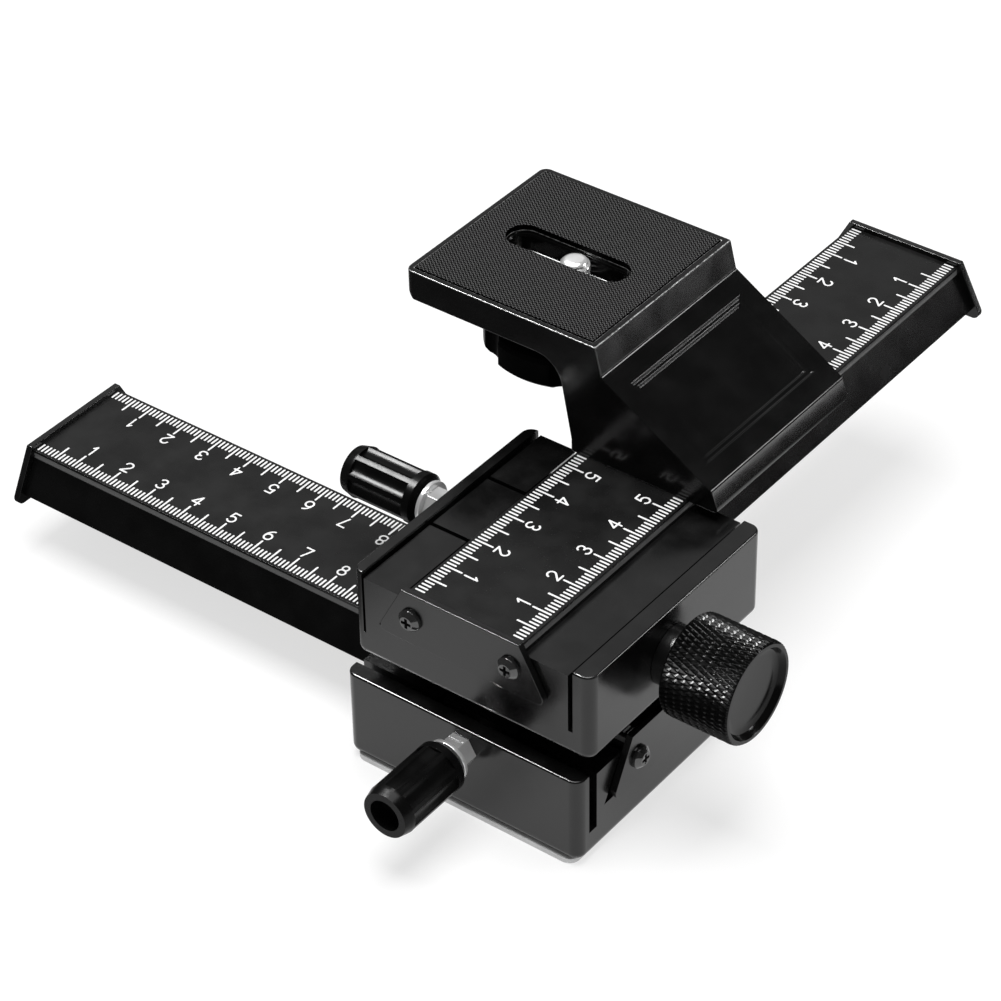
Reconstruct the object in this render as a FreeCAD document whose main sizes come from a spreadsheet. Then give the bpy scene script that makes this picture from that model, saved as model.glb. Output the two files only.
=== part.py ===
import FreeCAD, Part

import math
import os
import re

import Sketcher

# Two-way macro focusing rail. The lower rail slides along X in the base block and carries
# the upper block, in which the upper rail slides along Y with the camera bracket on it.
# +Z is up and the origin is the mouth of the tripod socket, on the resting plane.
#
# A rail, its block, drive and lock make one unit, and the object has two of them. A unit has
# its own frame: x across the rail towards the focus knob, y along the rail towards its long
# end, z up from the rail's top face, with the origin in the middle of the block.

SIZES = (
    # how far a cut runs past the face that it opens
    ("overcut", 1.0),
    # rail travel and block
    ("travel", 100.0),
    ("stop_gap", 0.1),
    ("block_length", 58.0),
    ("block_height", 21.0),
    ("block_corner", 2.5),
    ("block_foot_round", 2.0),
    ("block_edge_round", 0.5),
    ("long_reach", 30.0),
    ("short_reach", 28.0),
    ("wall_drop", 1.0),
    ("jaw_drop", 2.2),
    ("run_gap", 0.1),
    ("slit_place", 25.2),
    ("slit_depth", 15.0),
    ("focus_slit", 1.1),
    ("lower_lock_slit", 2.5),
    ("upper_lock_slit", 0.6),
    ("finger_width", 17.8),
    ("finger_cut", 1.0),
    ("relief", 1.6),
    ("relief_depth", 2.0),
    ("relief_inset", 1.0),
    # dovetail rail
    ("rail_half_top", 13.7),
    ("rail_land", 1.6),
    ("rail_height", 10.0),
    ("rail_chamfer", 0.7),
    ("flank_angle", 30.0),
    ("scale_thickness", 0.6),
    # rack and pinion
    ("tooth_module", 0.5),
    ("pressure_angle", 20.0),
    ("pinion_teeth", 14.0),
    ("backlash", 0.08),
    ("pinion_dedendum", 1.25),
    ("rack_addendum", 0.8),
    ("rack_dedendum", 1.2),
    ("drive_drop", 11.9),
    ("drive_offset", -2.8),
    ("pinion_width", 6.0),
    ("rack_width", 7.0),
    ("rack_back", 2.8),
    ("rack_inset", 2.0),
    ("rack_fit", 0.02),
    ("trough_gap", 0.3),
    ("waist_radius", 1.7),
    ("journal_radius", 1.3),
    ("journal_length", 5.0),
    ("journal_end_gap", 0.2),
    ("shaft_radius", 2.5),
    ("shaft_gap", 0.05),
    # focus bush and knob
    ("bush_radius", 5.0),
    ("bush_foot", 19.2),
    ("flange_radius", 6.5),
    ("flange_length", 4.2),
    ("knob_gap", 0.5),
    ("knob_fit", 0.02),
    ("focus_knob_radius", 11.0),
    ("focus_knob_length", 15.9),
    ("focus_rim", 1.3),
    ("focus_dish", 1.6),
    ("focus_edge", 0.5),
    ("focus_bore_depth", 12.0),
    ("grub_radius", 1.5),
    ("grub_length", 5.0),
    ("grub_setback", 3.0),
    ("grub_socket", 1.5),
    ("grub_socket_depth", 1.8),
    # lock screw and knob
    ("lock_drop", 6.3),
    ("upper_lock_offset", 1.9),
    ("lower_lock_offset", -0.4),
    ("lock_screw_radius", 2.0),
    ("lock_tip_gap", 0.05),
    ("collar_flange_radius", 4.8),
    ("collar_flange", 1.0),
    ("collar_flats", 6.6),
    ("collar_length", 4.0),
    ("collar_spigot_radius", 3.0),
    ("collar_spigot_setback", 0.2),
    ("lock_knob_gap", 0.5),
    ("lock_knob_radius", 5.7),
    ("lock_knob_length", 18.7),
    ("lock_knob_flutes", 8.0),
    ("lock_flute_radius", 3.0),
    ("lock_flute_depth", 0.75),
    ("lock_flute_start", 2.5),
    ("lock_ring_length", 2.4),
    ("lock_ring_taper", 0.6),
    ("lock_cup_radius", 3.5),
    ("lock_cup_depth", 3.6),
    ("lock_bore_depth", 10.0),
    ("lock_edge", 0.8),
    # end plates and their screws
    ("end_thickness", 1.5),
    ("end_half_top", 14.2),
    ("end_half_foot", 20.8),
    ("end_rise", 1.1),
    ("end_height", 12.6),
    ("end_corner", 1.5),
    ("end_screw_place", 12.0),
    ("end_screw_drop", 5.3),
    ("end_screw_radius", 1.25),
    ("end_screw_length", 8.0),
    ("end_head_radius", 2.5),
    ("end_head_height", 1.6),
    ("end_head_side", 0.7),
    ("end_head_crown", 1.5),
    ("cross_length", 2.4),
    ("cross_width", 0.7),
    ("cross_depth", 0.9),
    # screws of the racks
    ("rack_screw_radius", 1.0),
    ("rack_screw_head", 1.9),
    ("rack_screw_length", 5.5),
    ("rack_screw_inset", 8.0),
    ("rack_screw_slot", 0.5),
    ("rack_screw_slot_depth", 0.7),
    # base pad and tripod bush
    ("pad_thickness", 1.2),
    ("pad_side_inset", 1.5),
    ("pad_corner", 2.5),
    ("pad_hole_radius", 8.0),
    ("tripod_radius", 3.175),
    ("tripod_bush_radius", 4.7625),
    ("tripod_depth", 6.0),
    # riser between the lower rail and the upper block
    ("riser_height", 4.0),
    ("riser_length", 50.0),
    ("riser_width", 27.0),
    ("riser_corner", 1.5),
    ("upper_setback", 1.8),
    ("riser_screw_along", 14.0),
    ("riser_screw_across", 10.3),
    ("riser_screw_radius", 2.0),
    ("riser_screw_length", 18.0),
    ("riser_head_radius", 3.5),
    ("riser_head_height", 4.0),
    ("riser_head_sink", 0.2),
    ("riser_socket", 3.0),
    ("riser_socket_depth", 2.2),
    ("screw_gap", 0.05),
    ("screw_clearance", 0.15),
    # camera bracket
    ("bracket_width", 48.0),
    ("bracket_round", 2.0),
    ("platform_rise", 28.0),
    ("platform_thickness", 7.0),
    ("platform_left", -57.2),
    ("platform_right", -9.1),
    ("platform_chamfer", 2.0),
    ("shoulder_x", -7.5),
    ("shoulder_drop", 6.5),
    ("incline_foot_x", 19.5),
    ("incline_foot_rise", 5.0),
    ("foot_right", 20.8),
    ("foot_left", -15.0),
    ("foot_right_edge", 1.5),
    ("foot_left_edge", 3.0),
    ("leg_top_x", -18.4),
    ("leg_fillet", 6.5),
    ("panel_margin", 5.0),
    ("panel_step", 1.2),
    ("panel_depth", 0.5),
    ("bracket_screw_across", 10.0),
    ("bracket_screw_along", 16.0),
    ("bracket_screw_radius", 2.0),
    ("bracket_screw_head", 3.7),
    ("bracket_screw_length", 16.0),
    ("bracket_head_land", 0.2),
    ("bracket_socket", 2.5),
    ("bracket_socket_depth", 1.8),
    ("head_recess", 0.05),
    # pad, slot and camera screw
    ("camera_pad_inset", 1.5),
    ("camera_pad_thickness", 1.2),
    ("camera_pad_proud", 0.2),
    ("slot_place", -33.3),
    ("slot_length", 30.0),
    ("slot_mouth_width", 7.8),
    ("slot_width", 7.0),
    ("slot_mouth_depth", 1.0),
    ("ledge_width", 5.4),
    ("ledge_thickness", 1.3),
    ("screw_place", -31.5),
    ("camera_screw_radius", 3.175),
    ("camera_neck_radius", 2.5),
    ("camera_screw_sink", 0.3),
    ("camera_screw_lift", 5.5),
    ("slot_washer_radius", 3.4),
    ("slot_washer_thickness", 0.5),
    ("knob_washer_radius", 7.0),
    ("knob_washer_thickness", 0.6),
    ("washer_gap", 0.1),
    ("camera_knob_radius", 19.2),
    ("camera_knob_thickness", 6.6),
    ("camera_knob_hub", 8.0),
    ("camera_knob_hub_rise", 0.65),
    ("camera_knob_notches", 6.0),
    ("notch_radius", 5.0),
    ("notch_depth", 1.6),
    ("camera_knob_edge", 0.8),
    ("camera_knob_dish", 12.0),
    ("camera_knob_dish_depth", 1.0),
    ("knob_pocket_gap", 0.5),
)

NAMES = {name for name, value in SIZES}

# Where a sketch's points stand before their expressions place them.
ROUGH_REACH = 10.0
ROUGH_RADIUS = 4.0
# A length and a volume that are too small to matter.
SLIGHT_LENGTH = 1e-4
SLIGHT_VOLUME = 1e-6

doc = FreeCAD.newDocument("macro_focusing_rail")
sheet = doc.addObject("Spreadsheet::Sheet", "Sizes")
for row, (name, value) in enumerate(SIZES, start=1):
    sheet.set("A%d" % row, name)
    sheet.set("B%d" % row, str(value))
    sheet.setAlias("B%d" % row, name)
doc.recompute()

bodies = []


def size(name):
    """The value of one cell of the sheet, in millimetres or degrees."""
    return float(sheet.get(name))


def bound(text):
    """An expression for setExpression, in which each size's name reads the sheet."""
    return re.sub(r"[a-z_]{2,}", lambda word: cell(word.group()), text)


def cell(word):
    return "Sizes." + word if word in NAMES else word


# ------------------------------------------------------------ places that several pieces share

RAIL_START = "(-block_length / 2 - stop_gap)"
RAIL_END = "(block_length / 2 + stop_gap + travel)"
RAIL_MIDDLE = "(travel / 2)"
BLOCK_FOOT = "(-wall_drop - block_height)"
FLOOR = "(-rail_height - run_gap)"
SLIT_FOOT = "(-wall_drop - slit_depth)"
JAW_HALF = "(rail_half_top + run_gap + (jaw_drop - rail_land) * tan(flank_angle))"
FLOOR_HALF = "(rail_half_top + run_gap + (rail_height + run_gap - rail_land) * tan(flank_angle))"
RAIL_HALF = "(rail_half_top + (rail_height - rail_land) * tan(flank_angle))"
LOWER_Y = "((long_reach - short_reach) / 2)"
LOWER_TOP = "(pad_thickness + block_height + wall_drop)"
UPPER_X = "(block_length / 2 + stop_gap + end_thickness - long_reach)"
UPPER_TOP = "(pad_thickness + 2 * block_height + 2 * wall_drop + riser_height)"
PLATFORM_FOOT = "(platform_rise - platform_thickness)"
LEDGE_TOP = "(platform_rise - platform_thickness + ledge_thickness)"
KNOB_TOP = "(platform_rise - platform_thickness - camera_screw_lift - knob_washer_thickness)"
DISC_TOP = "(%s - camera_knob_hub_rise)" % KNOB_TOP
DISC_FOOT = "(%s - camera_knob_thickness)" % DISC_TOP
SLOT_SPAN = "((slot_length - slot_mouth_width) / 2)"
RISER_SEAT = "(%s - riser_head_sink - riser_head_height)" % FLOOR
# The tips of the riser screws, in the lower unit's frame.
RISER_SCREW_FOOT = "(%s - %s + %s - riser_screw_length)" % (UPPER_TOP, LOWER_TOP, RISER_SEAT)

PITCH = math.pi * size("tooth_module")
PITCH_RADIUS = size("tooth_module") * size("pinion_teeth") / 2
PRESSURE = math.radians(size("pressure_angle"))
OUTER_RADIUS = PITCH_RADIUS + size("tooth_module")
ROOT_RADIUS = PITCH_RADIUS - size("pinion_dedendum") * size("tooth_module")
PITCH_LINE = -size("drive_drop") + PITCH_RADIUS
RACK_TIP = PITCH_LINE - size("rack_addendum") * size("tooth_module")
RACK_ROOT = PITCH_LINE + size("rack_dedendum") * size("tooth_module")
RACK_BACK = RACK_ROOT + size("rack_back")
BRACKET_HEAD = "(-rail_height + head_recess)"


# ------------------------------------------------------------ features

def new_body(label):
    body = doc.addObject("PartDesign::Body", label)
    body.Label = label
    bodies.append(body)
    return body


def origin_item(body, role):
    return next(item for item in body.Origin.OriginFeatures if item.Role == role)


def start_sketch(body, name, role, centre):
    """A sketch parallel to an origin plane, with its own origin at the centre given."""
    x, y, z = (str(value) for value in centre)
    offsets = {
        "XY_Plane": (x, y, z),
        "XZ_Plane": (x, z, "-(%s)" % y),
        "YZ_Plane": (y, z, x),
    }
    sketch = body.newObject("Sketcher::SketchObject", name + "_sketch")
    sketch.AttachmentSupport = (origin_item(body, role), [""])
    sketch.MapMode = "FlatFace"
    for axis, text in zip("xyz", offsets[role]):
        sketch.setExpression("AttachmentOffset.Base." + axis, bound(text))
    return sketch


def set_distance(sketch, kind, geometry, point, value):
    """One coordinate of a point, measured from the sketch's origin."""
    start = sketch.getPoint(geometry, point)
    now = start.x if kind == "DistanceX" else start.y
    index = sketch.addConstraint(Sketcher.Constraint(kind, -1, 1, geometry, point, now))
    sketch.setExpression("Constraints[%d]" % index, bound(str(value)))


def set_radius(sketch, geometry, value):
    index = sketch.addConstraint(Sketcher.Constraint("Radius", geometry, 1.0))
    sketch.setExpression("Constraints[%d]" % index, bound(str(value)))


def polygon(*points):
    """A closed outline through the points given."""
    def draw(sketch):
        count = len(points)
        first = sketch.GeometryCount
        turns = [2 * math.pi * k / count for k in range(count)]
        spots = [ROUGH_REACH * FreeCAD.Vector(math.cos(turn), math.sin(turn), 0) for turn in turns]
        for k in range(count):
            sketch.addGeometry(Part.LineSegment(spots[k], spots[(k + 1) % count]))
        for k in range(count):
            following = first + (k + 1) % count
            sketch.addConstraint(Sketcher.Constraint("Coincident", first + k, 2, following, 1))
        for k, (x, y) in enumerate(points):
            set_distance(sketch, "DistanceX", first + k, 1, x)
            set_distance(sketch, "DistanceY", first + k, 1, y)
    return draw


def rectangle(left, right, low, high):
    return polygon((left, low), (right, low), (right, high), (left, high))


def hexagon(flats):
    """A hexagon about the sketch's origin, with two flats level."""
    return polygon(*(
        ("%s / sqrt(3) * cos(%d)" % (flats, 60 * k), "%s / sqrt(3) * sin(%d)" % (flats, 60 * k))
        for k in range(6)
    ))


def cross(length, width):
    """Two equal bars crossed at the sketch's origin."""
    long_half, short_half = "%s / 2" % length, "%s / 2" % width
    corners = ((long_half, short_half), (short_half, short_half), (short_half, long_half))
    points = []
    for sign_x, sign_y in (("", ""), ("-", ""), ("-", "-"), ("", "-")):
        arm = [(sign_x + x, sign_y + y) for x, y in corners]
        points += arm if sign_x == sign_y else reversed(arm)
    return polygon(*points)


def circles(radius, *centres):
    def draw(sketch):
        for x, y in centres:
            rough = Part.Circle(FreeCAD.Vector(1, 1, 0), FreeCAD.Vector(0, 0, 1), ROUGH_RADIUS)
            index = sketch.addGeometry(rough)
            set_radius(sketch, index, radius)
            set_distance(sketch, "DistanceX", index, 3, x)
            set_distance(sketch, "DistanceY", index, 3, y)
    return draw


def stadium(span, radius):
    """A slot along the sketch's x: two half circles at plus and minus span, joined by lines."""
    def draw(sketch):
        normal = FreeCAD.Vector(0, 0, 1)
        reach = FreeCAD.Vector(ROUGH_REACH, 0, 0)
        rise = FreeCAD.Vector(0, ROUGH_RADIUS, 0)
        right = Part.Circle(reach, normal, ROUGH_RADIUS)
        left = Part.Circle(-reach, normal, ROUGH_RADIUS)
        sketch.addGeometry(Part.ArcOfCircle(right, -math.pi / 2, math.pi / 2))
        sketch.addGeometry(Part.LineSegment(reach + rise, rise - reach))
        sketch.addGeometry(Part.ArcOfCircle(left, math.pi / 2, 3 * math.pi / 2))
        sketch.addGeometry(Part.LineSegment(-reach - rise, reach - rise))
        for k in range(4):
            sketch.addConstraint(Sketcher.Constraint("Tangent", k, 2, (k + 1) % 4, 1))
        sketch.addConstraint(Sketcher.Constraint("Equal", 0, 2))
        set_radius(sketch, 0, radius)
        set_distance(sketch, "DistanceX", 0, 3, span)
        set_distance(sketch, "DistanceY", 0, 3, 0)
        set_distance(sketch, "DistanceX", 2, 3, "-(%s)" % span)
        set_distance(sketch, "DistanceY", 2, 3, 0)
    return draw


def make_sure(body, feature):
    unsound = "Invalid" in feature.State or "Error" in feature.State
    if unsound or feature.Shape.isNull() or not feature.Shape.isValid():
        raise RuntimeError("%s of %s failed" % (feature.Name, body.Label))
    return feature


def settle(body, feature, before, cut):
    """Recompute, and make sure that the feature is sound and adds or removes material."""
    doc.recompute()
    make_sure(body, feature)
    after = feature.Shape.Volume
    change = before - after if cut else after - before
    if change < SLIGHT_VOLUME:
        raise RuntimeError("%s of %s changes nothing" % (feature.Name, body.Label))
    return feature


def volume_now(body):
    return body.Tip.Shape.Volume if body.Tip else 0.0


def prism(body, name, role, outline, low, high, centre=(0, 0), cut=False):
    """A pad or pocket of an outline, from low to high along the normal of the plane."""
    before = volume_now(body)
    a, b = centre
    places = {
        "XY_Plane": (a, b, low),
        "XZ_Plane": (a, high, b),
        "YZ_Plane": (low, a, b),
    }
    sketch = start_sketch(body, name, role, places[role])
    outline(sketch)
    feature = body.newObject("PartDesign::Pocket" if cut else "PartDesign::Pad", name)
    feature.Profile = sketch
    feature.Reversed = cut
    feature.setExpression("Length", bound("(%s) - (%s)" % (high, low)))
    return settle(body, feature, before, cut)


def turned(body, name, role, axis, centre, points, cut=False):
    """A solid or groove of revolution about the sketch's own horizontal or vertical axis."""
    before = volume_now(body)
    sketch = start_sketch(body, name, role, centre)
    polygon(*points)(sketch)
    feature = body.newObject("PartDesign::Groove" if cut else "PartDesign::Revolution", name)
    feature.Profile = sketch
    feature.ReferenceAxis = (sketch, [axis])
    feature.Angle = 360
    return settle(body, feature, before, cut)


def along_x(body, name, centre, points, cut=False):
    """Points are (x, radius) about an axis along x through the centre."""
    return turned(body, name, "XY_Plane", "H_Axis", centre, points, cut)


def along_y(body, name, centre, points, cut=False):
    """Points are (radius, y) about an axis along y through the centre."""
    return turned(body, name, "XY_Plane", "V_Axis", centre, points, cut)


def along_z(body, name, centre, points, cut=False):
    """Points are (radius, z) about an axis along z through the centre."""
    return turned(body, name, "XZ_Plane", "V_Axis", centre, points, cut)


def polar(body, original, count):
    """Copies of a feature round the normal of its own sketch."""
    pattern = body.newObject("PartDesign::PolarPattern", original.Name + "_ring")
    pattern.Originals = [original]
    pattern.Axis = (original.Profile[0], ["N_Axis"])
    pattern.Angle = 360
    pattern.Occurrences = count
    before = original.Shape.Volume
    body.Tip = pattern
    return settle(body, pattern, before, True)


def sockets(body, name, role, outline, low, high, places):
    """The same recess in the heads of several screws."""
    for k, place in enumerate(places):
        prism(body, "%s_%d" % (name, k), role, outline, low, high, place, cut=True)


def row_along_y(body, original, step, count):
    """Copies of a pocket along y."""
    pattern = body.newObject("PartDesign::LinearPattern", original.Name + "_row")
    pattern.Originals = [original]
    pattern.Direction = (origin_item(body, "Y_Axis"), [""])
    pattern.Length = step * (count - 1)
    pattern.Occurrences = count
    before = original.Shape.Volume
    body.Tip = pattern
    return settle(body, pattern, before, True)


def dress(body, name, kind, radius, test):
    """A fillet or chamfer on the edges of the last feature that pass a test."""
    base = body.Tip
    edges, box = base.Shape.Edges, base.Shape.BoundBox
    names = ["Edge%d" % k for k, edge in enumerate(edges, start=1) if test(edge, box)]
    if not names:
        raise RuntimeError("%s of %s finds no edge" % (name, body.Label))
    feature = body.newObject("PartDesign::" + kind, name)
    feature.Base = (base, names)
    feature.setExpression("Radius" if kind == "Fillet" else "Size", bound(radius))
    doc.recompute()
    return make_sure(body, feature)


def near(one, other):
    return abs(one - other) < SLIGHT_LENGTH


def runs_along(edge, axis):
    """True for a straight edge parallel to an axis, 0 for x, 1 for y and 2 for z."""
    ends = [vertex.Point for vertex in edge.Vertexes]
    if len(ends) < 2 or not isinstance(edge.Curve, Part.Line):
        return False
    return all(near(ends[0][k], ends[1][k]) for k in range(3) if k != axis)


def upright(edge, box):
    return runs_along(edge, 2) and near(edge.Length, box.ZLength)


def at_foot(edge, box):
    return near(edge.BoundBox.ZMin, box.ZMin) and near(edge.BoundBox.ZMax, box.ZMin)


def at_top(edge, box):
    return near(edge.BoundBox.ZMin, box.ZMax) and near(edge.BoundBox.ZMax, box.ZMax)


# ------------------------------------------------------------ the two units

class Unit:
    """What differs between the lower and the upper unit."""

    def __init__(self, name, focus_reach, lock_reach, lock_slit, lock_offset, base, turn):
        self.name = name
        self.focus_reach = focus_reach
        self.lock_reach = lock_reach
        self.lock_slit = lock_slit
        self.lock_offset = lock_offset
        self.base = base
        self.turn = turn

    def body(self, piece):
        """A body that is drawn in the unit's frame and stands where the unit stands."""
        body = new_body(self.name + "_" + piece)
        self.seat(body)
        return body

    def seat(self, body):
        body.Placement = FreeCAD.Placement(
            FreeCAD.Vector(), FreeCAD.Rotation(FreeCAD.Vector(0, 0, 1), self.turn))
        for axis, text in zip("xyz", self.base):
            body.setExpression(".Placement.Base." + axis, bound(text))


LOWER = Unit("lower", "short_reach", "long_reach", "lower_lock_slit", "lower_lock_offset",
             ("0", LOWER_Y, LOWER_TOP), 90)
UPPER = Unit("upper", "long_reach", "short_reach", "upper_lock_slit", "upper_lock_offset",
             (UPPER_X, "upper_setback", UPPER_TOP), 0)


def riser_screw_places(unit):
    """The four riser screws in the unit's own frame."""
    signs = [(a, b) for a in ("-", "+") for b in ("-", "+")]
    if unit is UPPER:
        return [
            ("%sriser_screw_along" % a, "%s - upper_setback %s riser_screw_across" % (LOWER_Y, b))
            for a, b in signs
        ]
    return [("%sriser_screw_across" % b, "-%s %s riser_screw_along" % (UPPER_X, a)) for a, b in signs]


def bracket_screw_places():
    return [
        ("%sbracket_screw_across" % a, "%s %s bracket_screw_along" % (RAIL_MIDDLE, b))
        for a in ("-", "+") for b in ("-", "+")
    ]


def rack_screw_places():
    return [("0", RAIL_START + " + rack_screw_inset"), ("0", RAIL_END + " - rack_screw_inset")]


def make_block(unit, label):
    body = new_body(label)
    unit.seat(body)
    focus, lock, lock_slit = unit.focus_reach, unit.lock_reach, unit.lock_slit
    half = "block_length / 2"
    prism(body, label + "_casting", "XY_Plane", rectangle("-" + lock, focus, "-" + half, half),
          BLOCK_FOOT, "-wall_drop")
    dress(body, label + "_corners", "Fillet", "block_corner", upright)
    dress(body, label + "_foot_edge", "Fillet", "block_foot_round", at_foot)
    dress(body, label + "_top_edge", "Fillet", "block_edge_round", at_top)
    past = "(%s + overcut)" % half
    cut_channel(body, label, past, lock_slit)
    cut_finger(body, label, unit, past)
    cut_drive_bores(body, label, unit)
    return body


def cut_channel(body, label, past, lock_slit):
    """The dovetail channel, the lower tops of its jaws and the slits behind them."""
    prism(body, label + "_jaw_tops", "XZ_Plane", rectangle("-slit_place", "slit_place", "-jaw_drop", "0"),
          "-" + past, past, cut=True)
    prism(body, label + "_channel", "XZ_Plane", polygon(
        ("-" + JAW_HALF, "0"), ("-" + JAW_HALF, "-jaw_drop"), ("-" + FLOOR_HALF, FLOOR),
        (FLOOR_HALF, FLOOR), (JAW_HALF, "-jaw_drop"), (JAW_HALF, "0")),
        "-" + past, past, cut=True)
    for side, sign, slit in (("focus", "", "focus_slit"), ("lock", "-", lock_slit)):
        near_edge = "%s(slit_place - %s / 2)" % (sign, slit)
        far_edge = "%s(slit_place + %s / 2)" % (sign, slit)
        prism(body, "%s_%s_slit" % (label, side), "XZ_Plane", rectangle(near_edge, far_edge, SLIT_FOOT, "0"),
              "-" + past, past, cut=True)


def cut_finger(body, label, unit, past):
    """The clamp finger of the lock side: cut free at both ends, its neighbours stand back."""
    half = "finger_width / 2"
    start = "(%s - %s)" % (unit.lock_offset, half)
    end = "(%s + %s)" % (unit.lock_offset, half)
    groove_foot = "(%s - relief_depth)" % FLOOR
    groove_half = "(%s + relief + relief_depth * tan(flank_angle))" % FLOOR_HALF
    relief = lock_side_outline("(%s + relief)" % JAW_HALF, groove_half, groove_foot, "relief_inset")
    near_relief = ("near", "-" + past, start + " - finger_cut / 2")
    far_relief = ("far", end + " + finger_cut / 2", past)
    for name, low, high in (near_relief, far_relief):
        prism(body, "%s_%s_relief" % (label, name), "XZ_Plane", relief, low, high, cut=True)
    gap = lock_side_outline("slit_place", "slit_place", SLIT_FOOT, "relief_inset / 2")
    for name, low, high in (("near", start + " - finger_cut", start), ("far", end, end + " + finger_cut")):
        prism(body, "%s_%s_cross_cut" % (label, name), "XZ_Plane", gap, low, high, cut=True)


def lock_side_outline(top_half, foot_half, foot, inset):
    """From a side of the jaw to a line that lies inside the channel, along its flank."""
    floor_inner = "-(%s - %s)" % (FLOOR_HALF, inset)
    jaw_inner = "-(%s - %s)" % (JAW_HALF, inset)
    return polygon(
        ("-" + top_half, "0"), ("-" + top_half, "-jaw_drop"), ("-" + foot_half, foot), (floor_inner, foot),
        (floor_inner, FLOOR), (jaw_inner, "-jaw_drop"), (jaw_inner, "0"))


def cut_drive_bores(body, label, unit):
    """The pinion's trough and journal, the seat of the focus bush and the lock screw's hole."""
    axis = ("drive_offset", "-drive_drop")
    trough = OUTER_RADIUS + size("trough_gap")
    trough_end = "(pinion_width / 2 + trough_gap)"
    prism(body, label + "_trough", "YZ_Plane", circles(trough, ("0", "0")),
          "-" + trough_end, unit.focus_reach, axis, cut=True)
    prism(body, label + "_journal", "YZ_Plane", circles("journal_radius + shaft_gap", ("0", "0")),
          "-%s - journal_length" % trough_end, "-" + trough_end, axis, cut=True)
    prism(body, label + "_bush_seat", "YZ_Plane", circles("bush_radius", ("0", "0")),
          "bush_foot", unit.focus_reach, axis, cut=True)
    prism(body, label + "_lock_hole", "YZ_Plane", circles("collar_spigot_radius", ("0", "0")),
          "-" + unit.lock_reach, "-slit_place", (unit.lock_offset, "-lock_drop"), cut=True)


def make_base_block():
    body = make_block(LOWER, "base_block")
    prism(body, "bush_hole", "XY_Plane", circles("tripod_bush_radius", ("-" + LOWER_Y, "0")),
          BLOCK_FOOT, BLOCK_FOOT + " + tripod_depth - pad_thickness + screw_gap", cut=True)


def make_upper_block():
    body = make_block(UPPER, "upper_block")
    places = riser_screw_places(UPPER)
    prism(body, "screw_holes", "XY_Plane", circles("riser_screw_radius + screw_clearance", *places),
          BLOCK_FOOT, FLOOR, cut=True)
    prism(body, "screw_seats", "XY_Plane", circles("riser_head_radius + screw_clearance", *places),
          RISER_SEAT, FLOOR, cut=True)


def make_base_pad():
    body = new_body("base_pad")
    half = "block_length / 2"
    outline = rectangle("-%s + pad_side_inset" % half, "%s - pad_side_inset" % half,
                        "-(long_reach + short_reach) / 2", "(long_reach + short_reach) / 2")
    prism(body, "pad_sheet", "XY_Plane", outline, "0", "pad_thickness")
    dress(body, "pad_corners", "Fillet", "pad_corner", upright)
    hole = circles("pad_hole_radius", ("0", "0"))
    prism(body, "pad_hole", "XY_Plane", hole, "0", "pad_thickness", cut=True)


def make_tripod_bush():
    body = new_body("tripod_bush")
    along_z(body, "bush_sleeve", (0, 0, 0), (
        ("tripod_radius", "0"), ("tripod_bush_radius", "0"), ("tripod_bush_radius", "tripod_depth"),
        ("tripod_radius", "tripod_depth")))


# ------------------------------------------------------------ rails

def make_rail(unit):
    body = unit.body("rail")
    top = "-scale_thickness"
    foot_half = "(%s - rail_chamfer * tan(flank_angle))" % RAIL_HALF
    right = [("rail_half_top", top), ("rail_half_top", "-rail_land"),
             (foot_half, "-rail_height + rail_chamfer"), (foot_half + " - rail_chamfer", "-rail_height")]
    left = [("-(%s)" % x, z) for x, z in reversed(right)]
    prism(body, unit.name + "_dovetail", "XZ_Plane", polygon(*right, *left), RAIL_START, RAIL_END)
    rack_slot = rectangle("-rack_width / 2", "rack_width / 2", "-rail_height", RACK_BACK)
    prism(body, unit.name + "_rack_slot", "XZ_Plane", rack_slot, RAIL_START, RAIL_END, cut=True)
    hole = "end_screw_length - end_thickness + screw_gap"
    for name, low, high in (("near", RAIL_START, "%s + %s" % (RAIL_START, hole)),
                            ("far", "%s - (%s)" % (RAIL_END, hole), RAIL_END)):
        prism(body, "%s_%s_end_holes" % (unit.name, name), "XZ_Plane",
              circles("end_screw_radius + screw_gap", *end_screw_places()), low, high, cut=True)
    prism(body, unit.name + "_rack_screw_holes", "XY_Plane",
          circles("rack_screw_radius + screw_gap", *rack_screw_places()),
          RACK_BACK, "%s + rack_screw_length + screw_gap" % RACK_ROOT, cut=True)
    if unit is LOWER:
        holes = circles("riser_screw_radius + screw_gap", *riser_screw_places(unit))
        prism(body, "riser_screw_holes", "XY_Plane", holes, RISER_SCREW_FOOT + " - screw_gap", top, cut=True)
    else:
        cut_bracket_screws(body, "rail")


def end_screw_places():
    return [("-end_screw_place", "-end_screw_drop"), ("end_screw_place", "-end_screw_drop")]


def bracket_screw_cone(body, name, place, head_gap, shank_gap, foot, tip, cut=False):
    """A countersunk screw, or its hole, with a head whose sides slope at 45 degrees."""
    head = "(bracket_screw_head + %s)" % head_gap
    shank = "(bracket_screw_radius + %s)" % shank_gap
    land = BRACKET_HEAD + " + bracket_head_land"
    return along_z(body, name, (*place, "0"), (
        ("0", foot), (head, foot), (head, land), (shank, "%s + %s - %s" % (land, head, shank)),
        (shank, tip), ("0", tip)), cut)


def cut_bracket_screws(body, name):
    for k, place in enumerate(bracket_screw_places()):
        bracket_screw_cone(
            body, "%s_bracket_hole_%d" % (name, k), place, "screw_clearance", "screw_clearance",
            "-rail_height - overcut", "0", cut=True)


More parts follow.
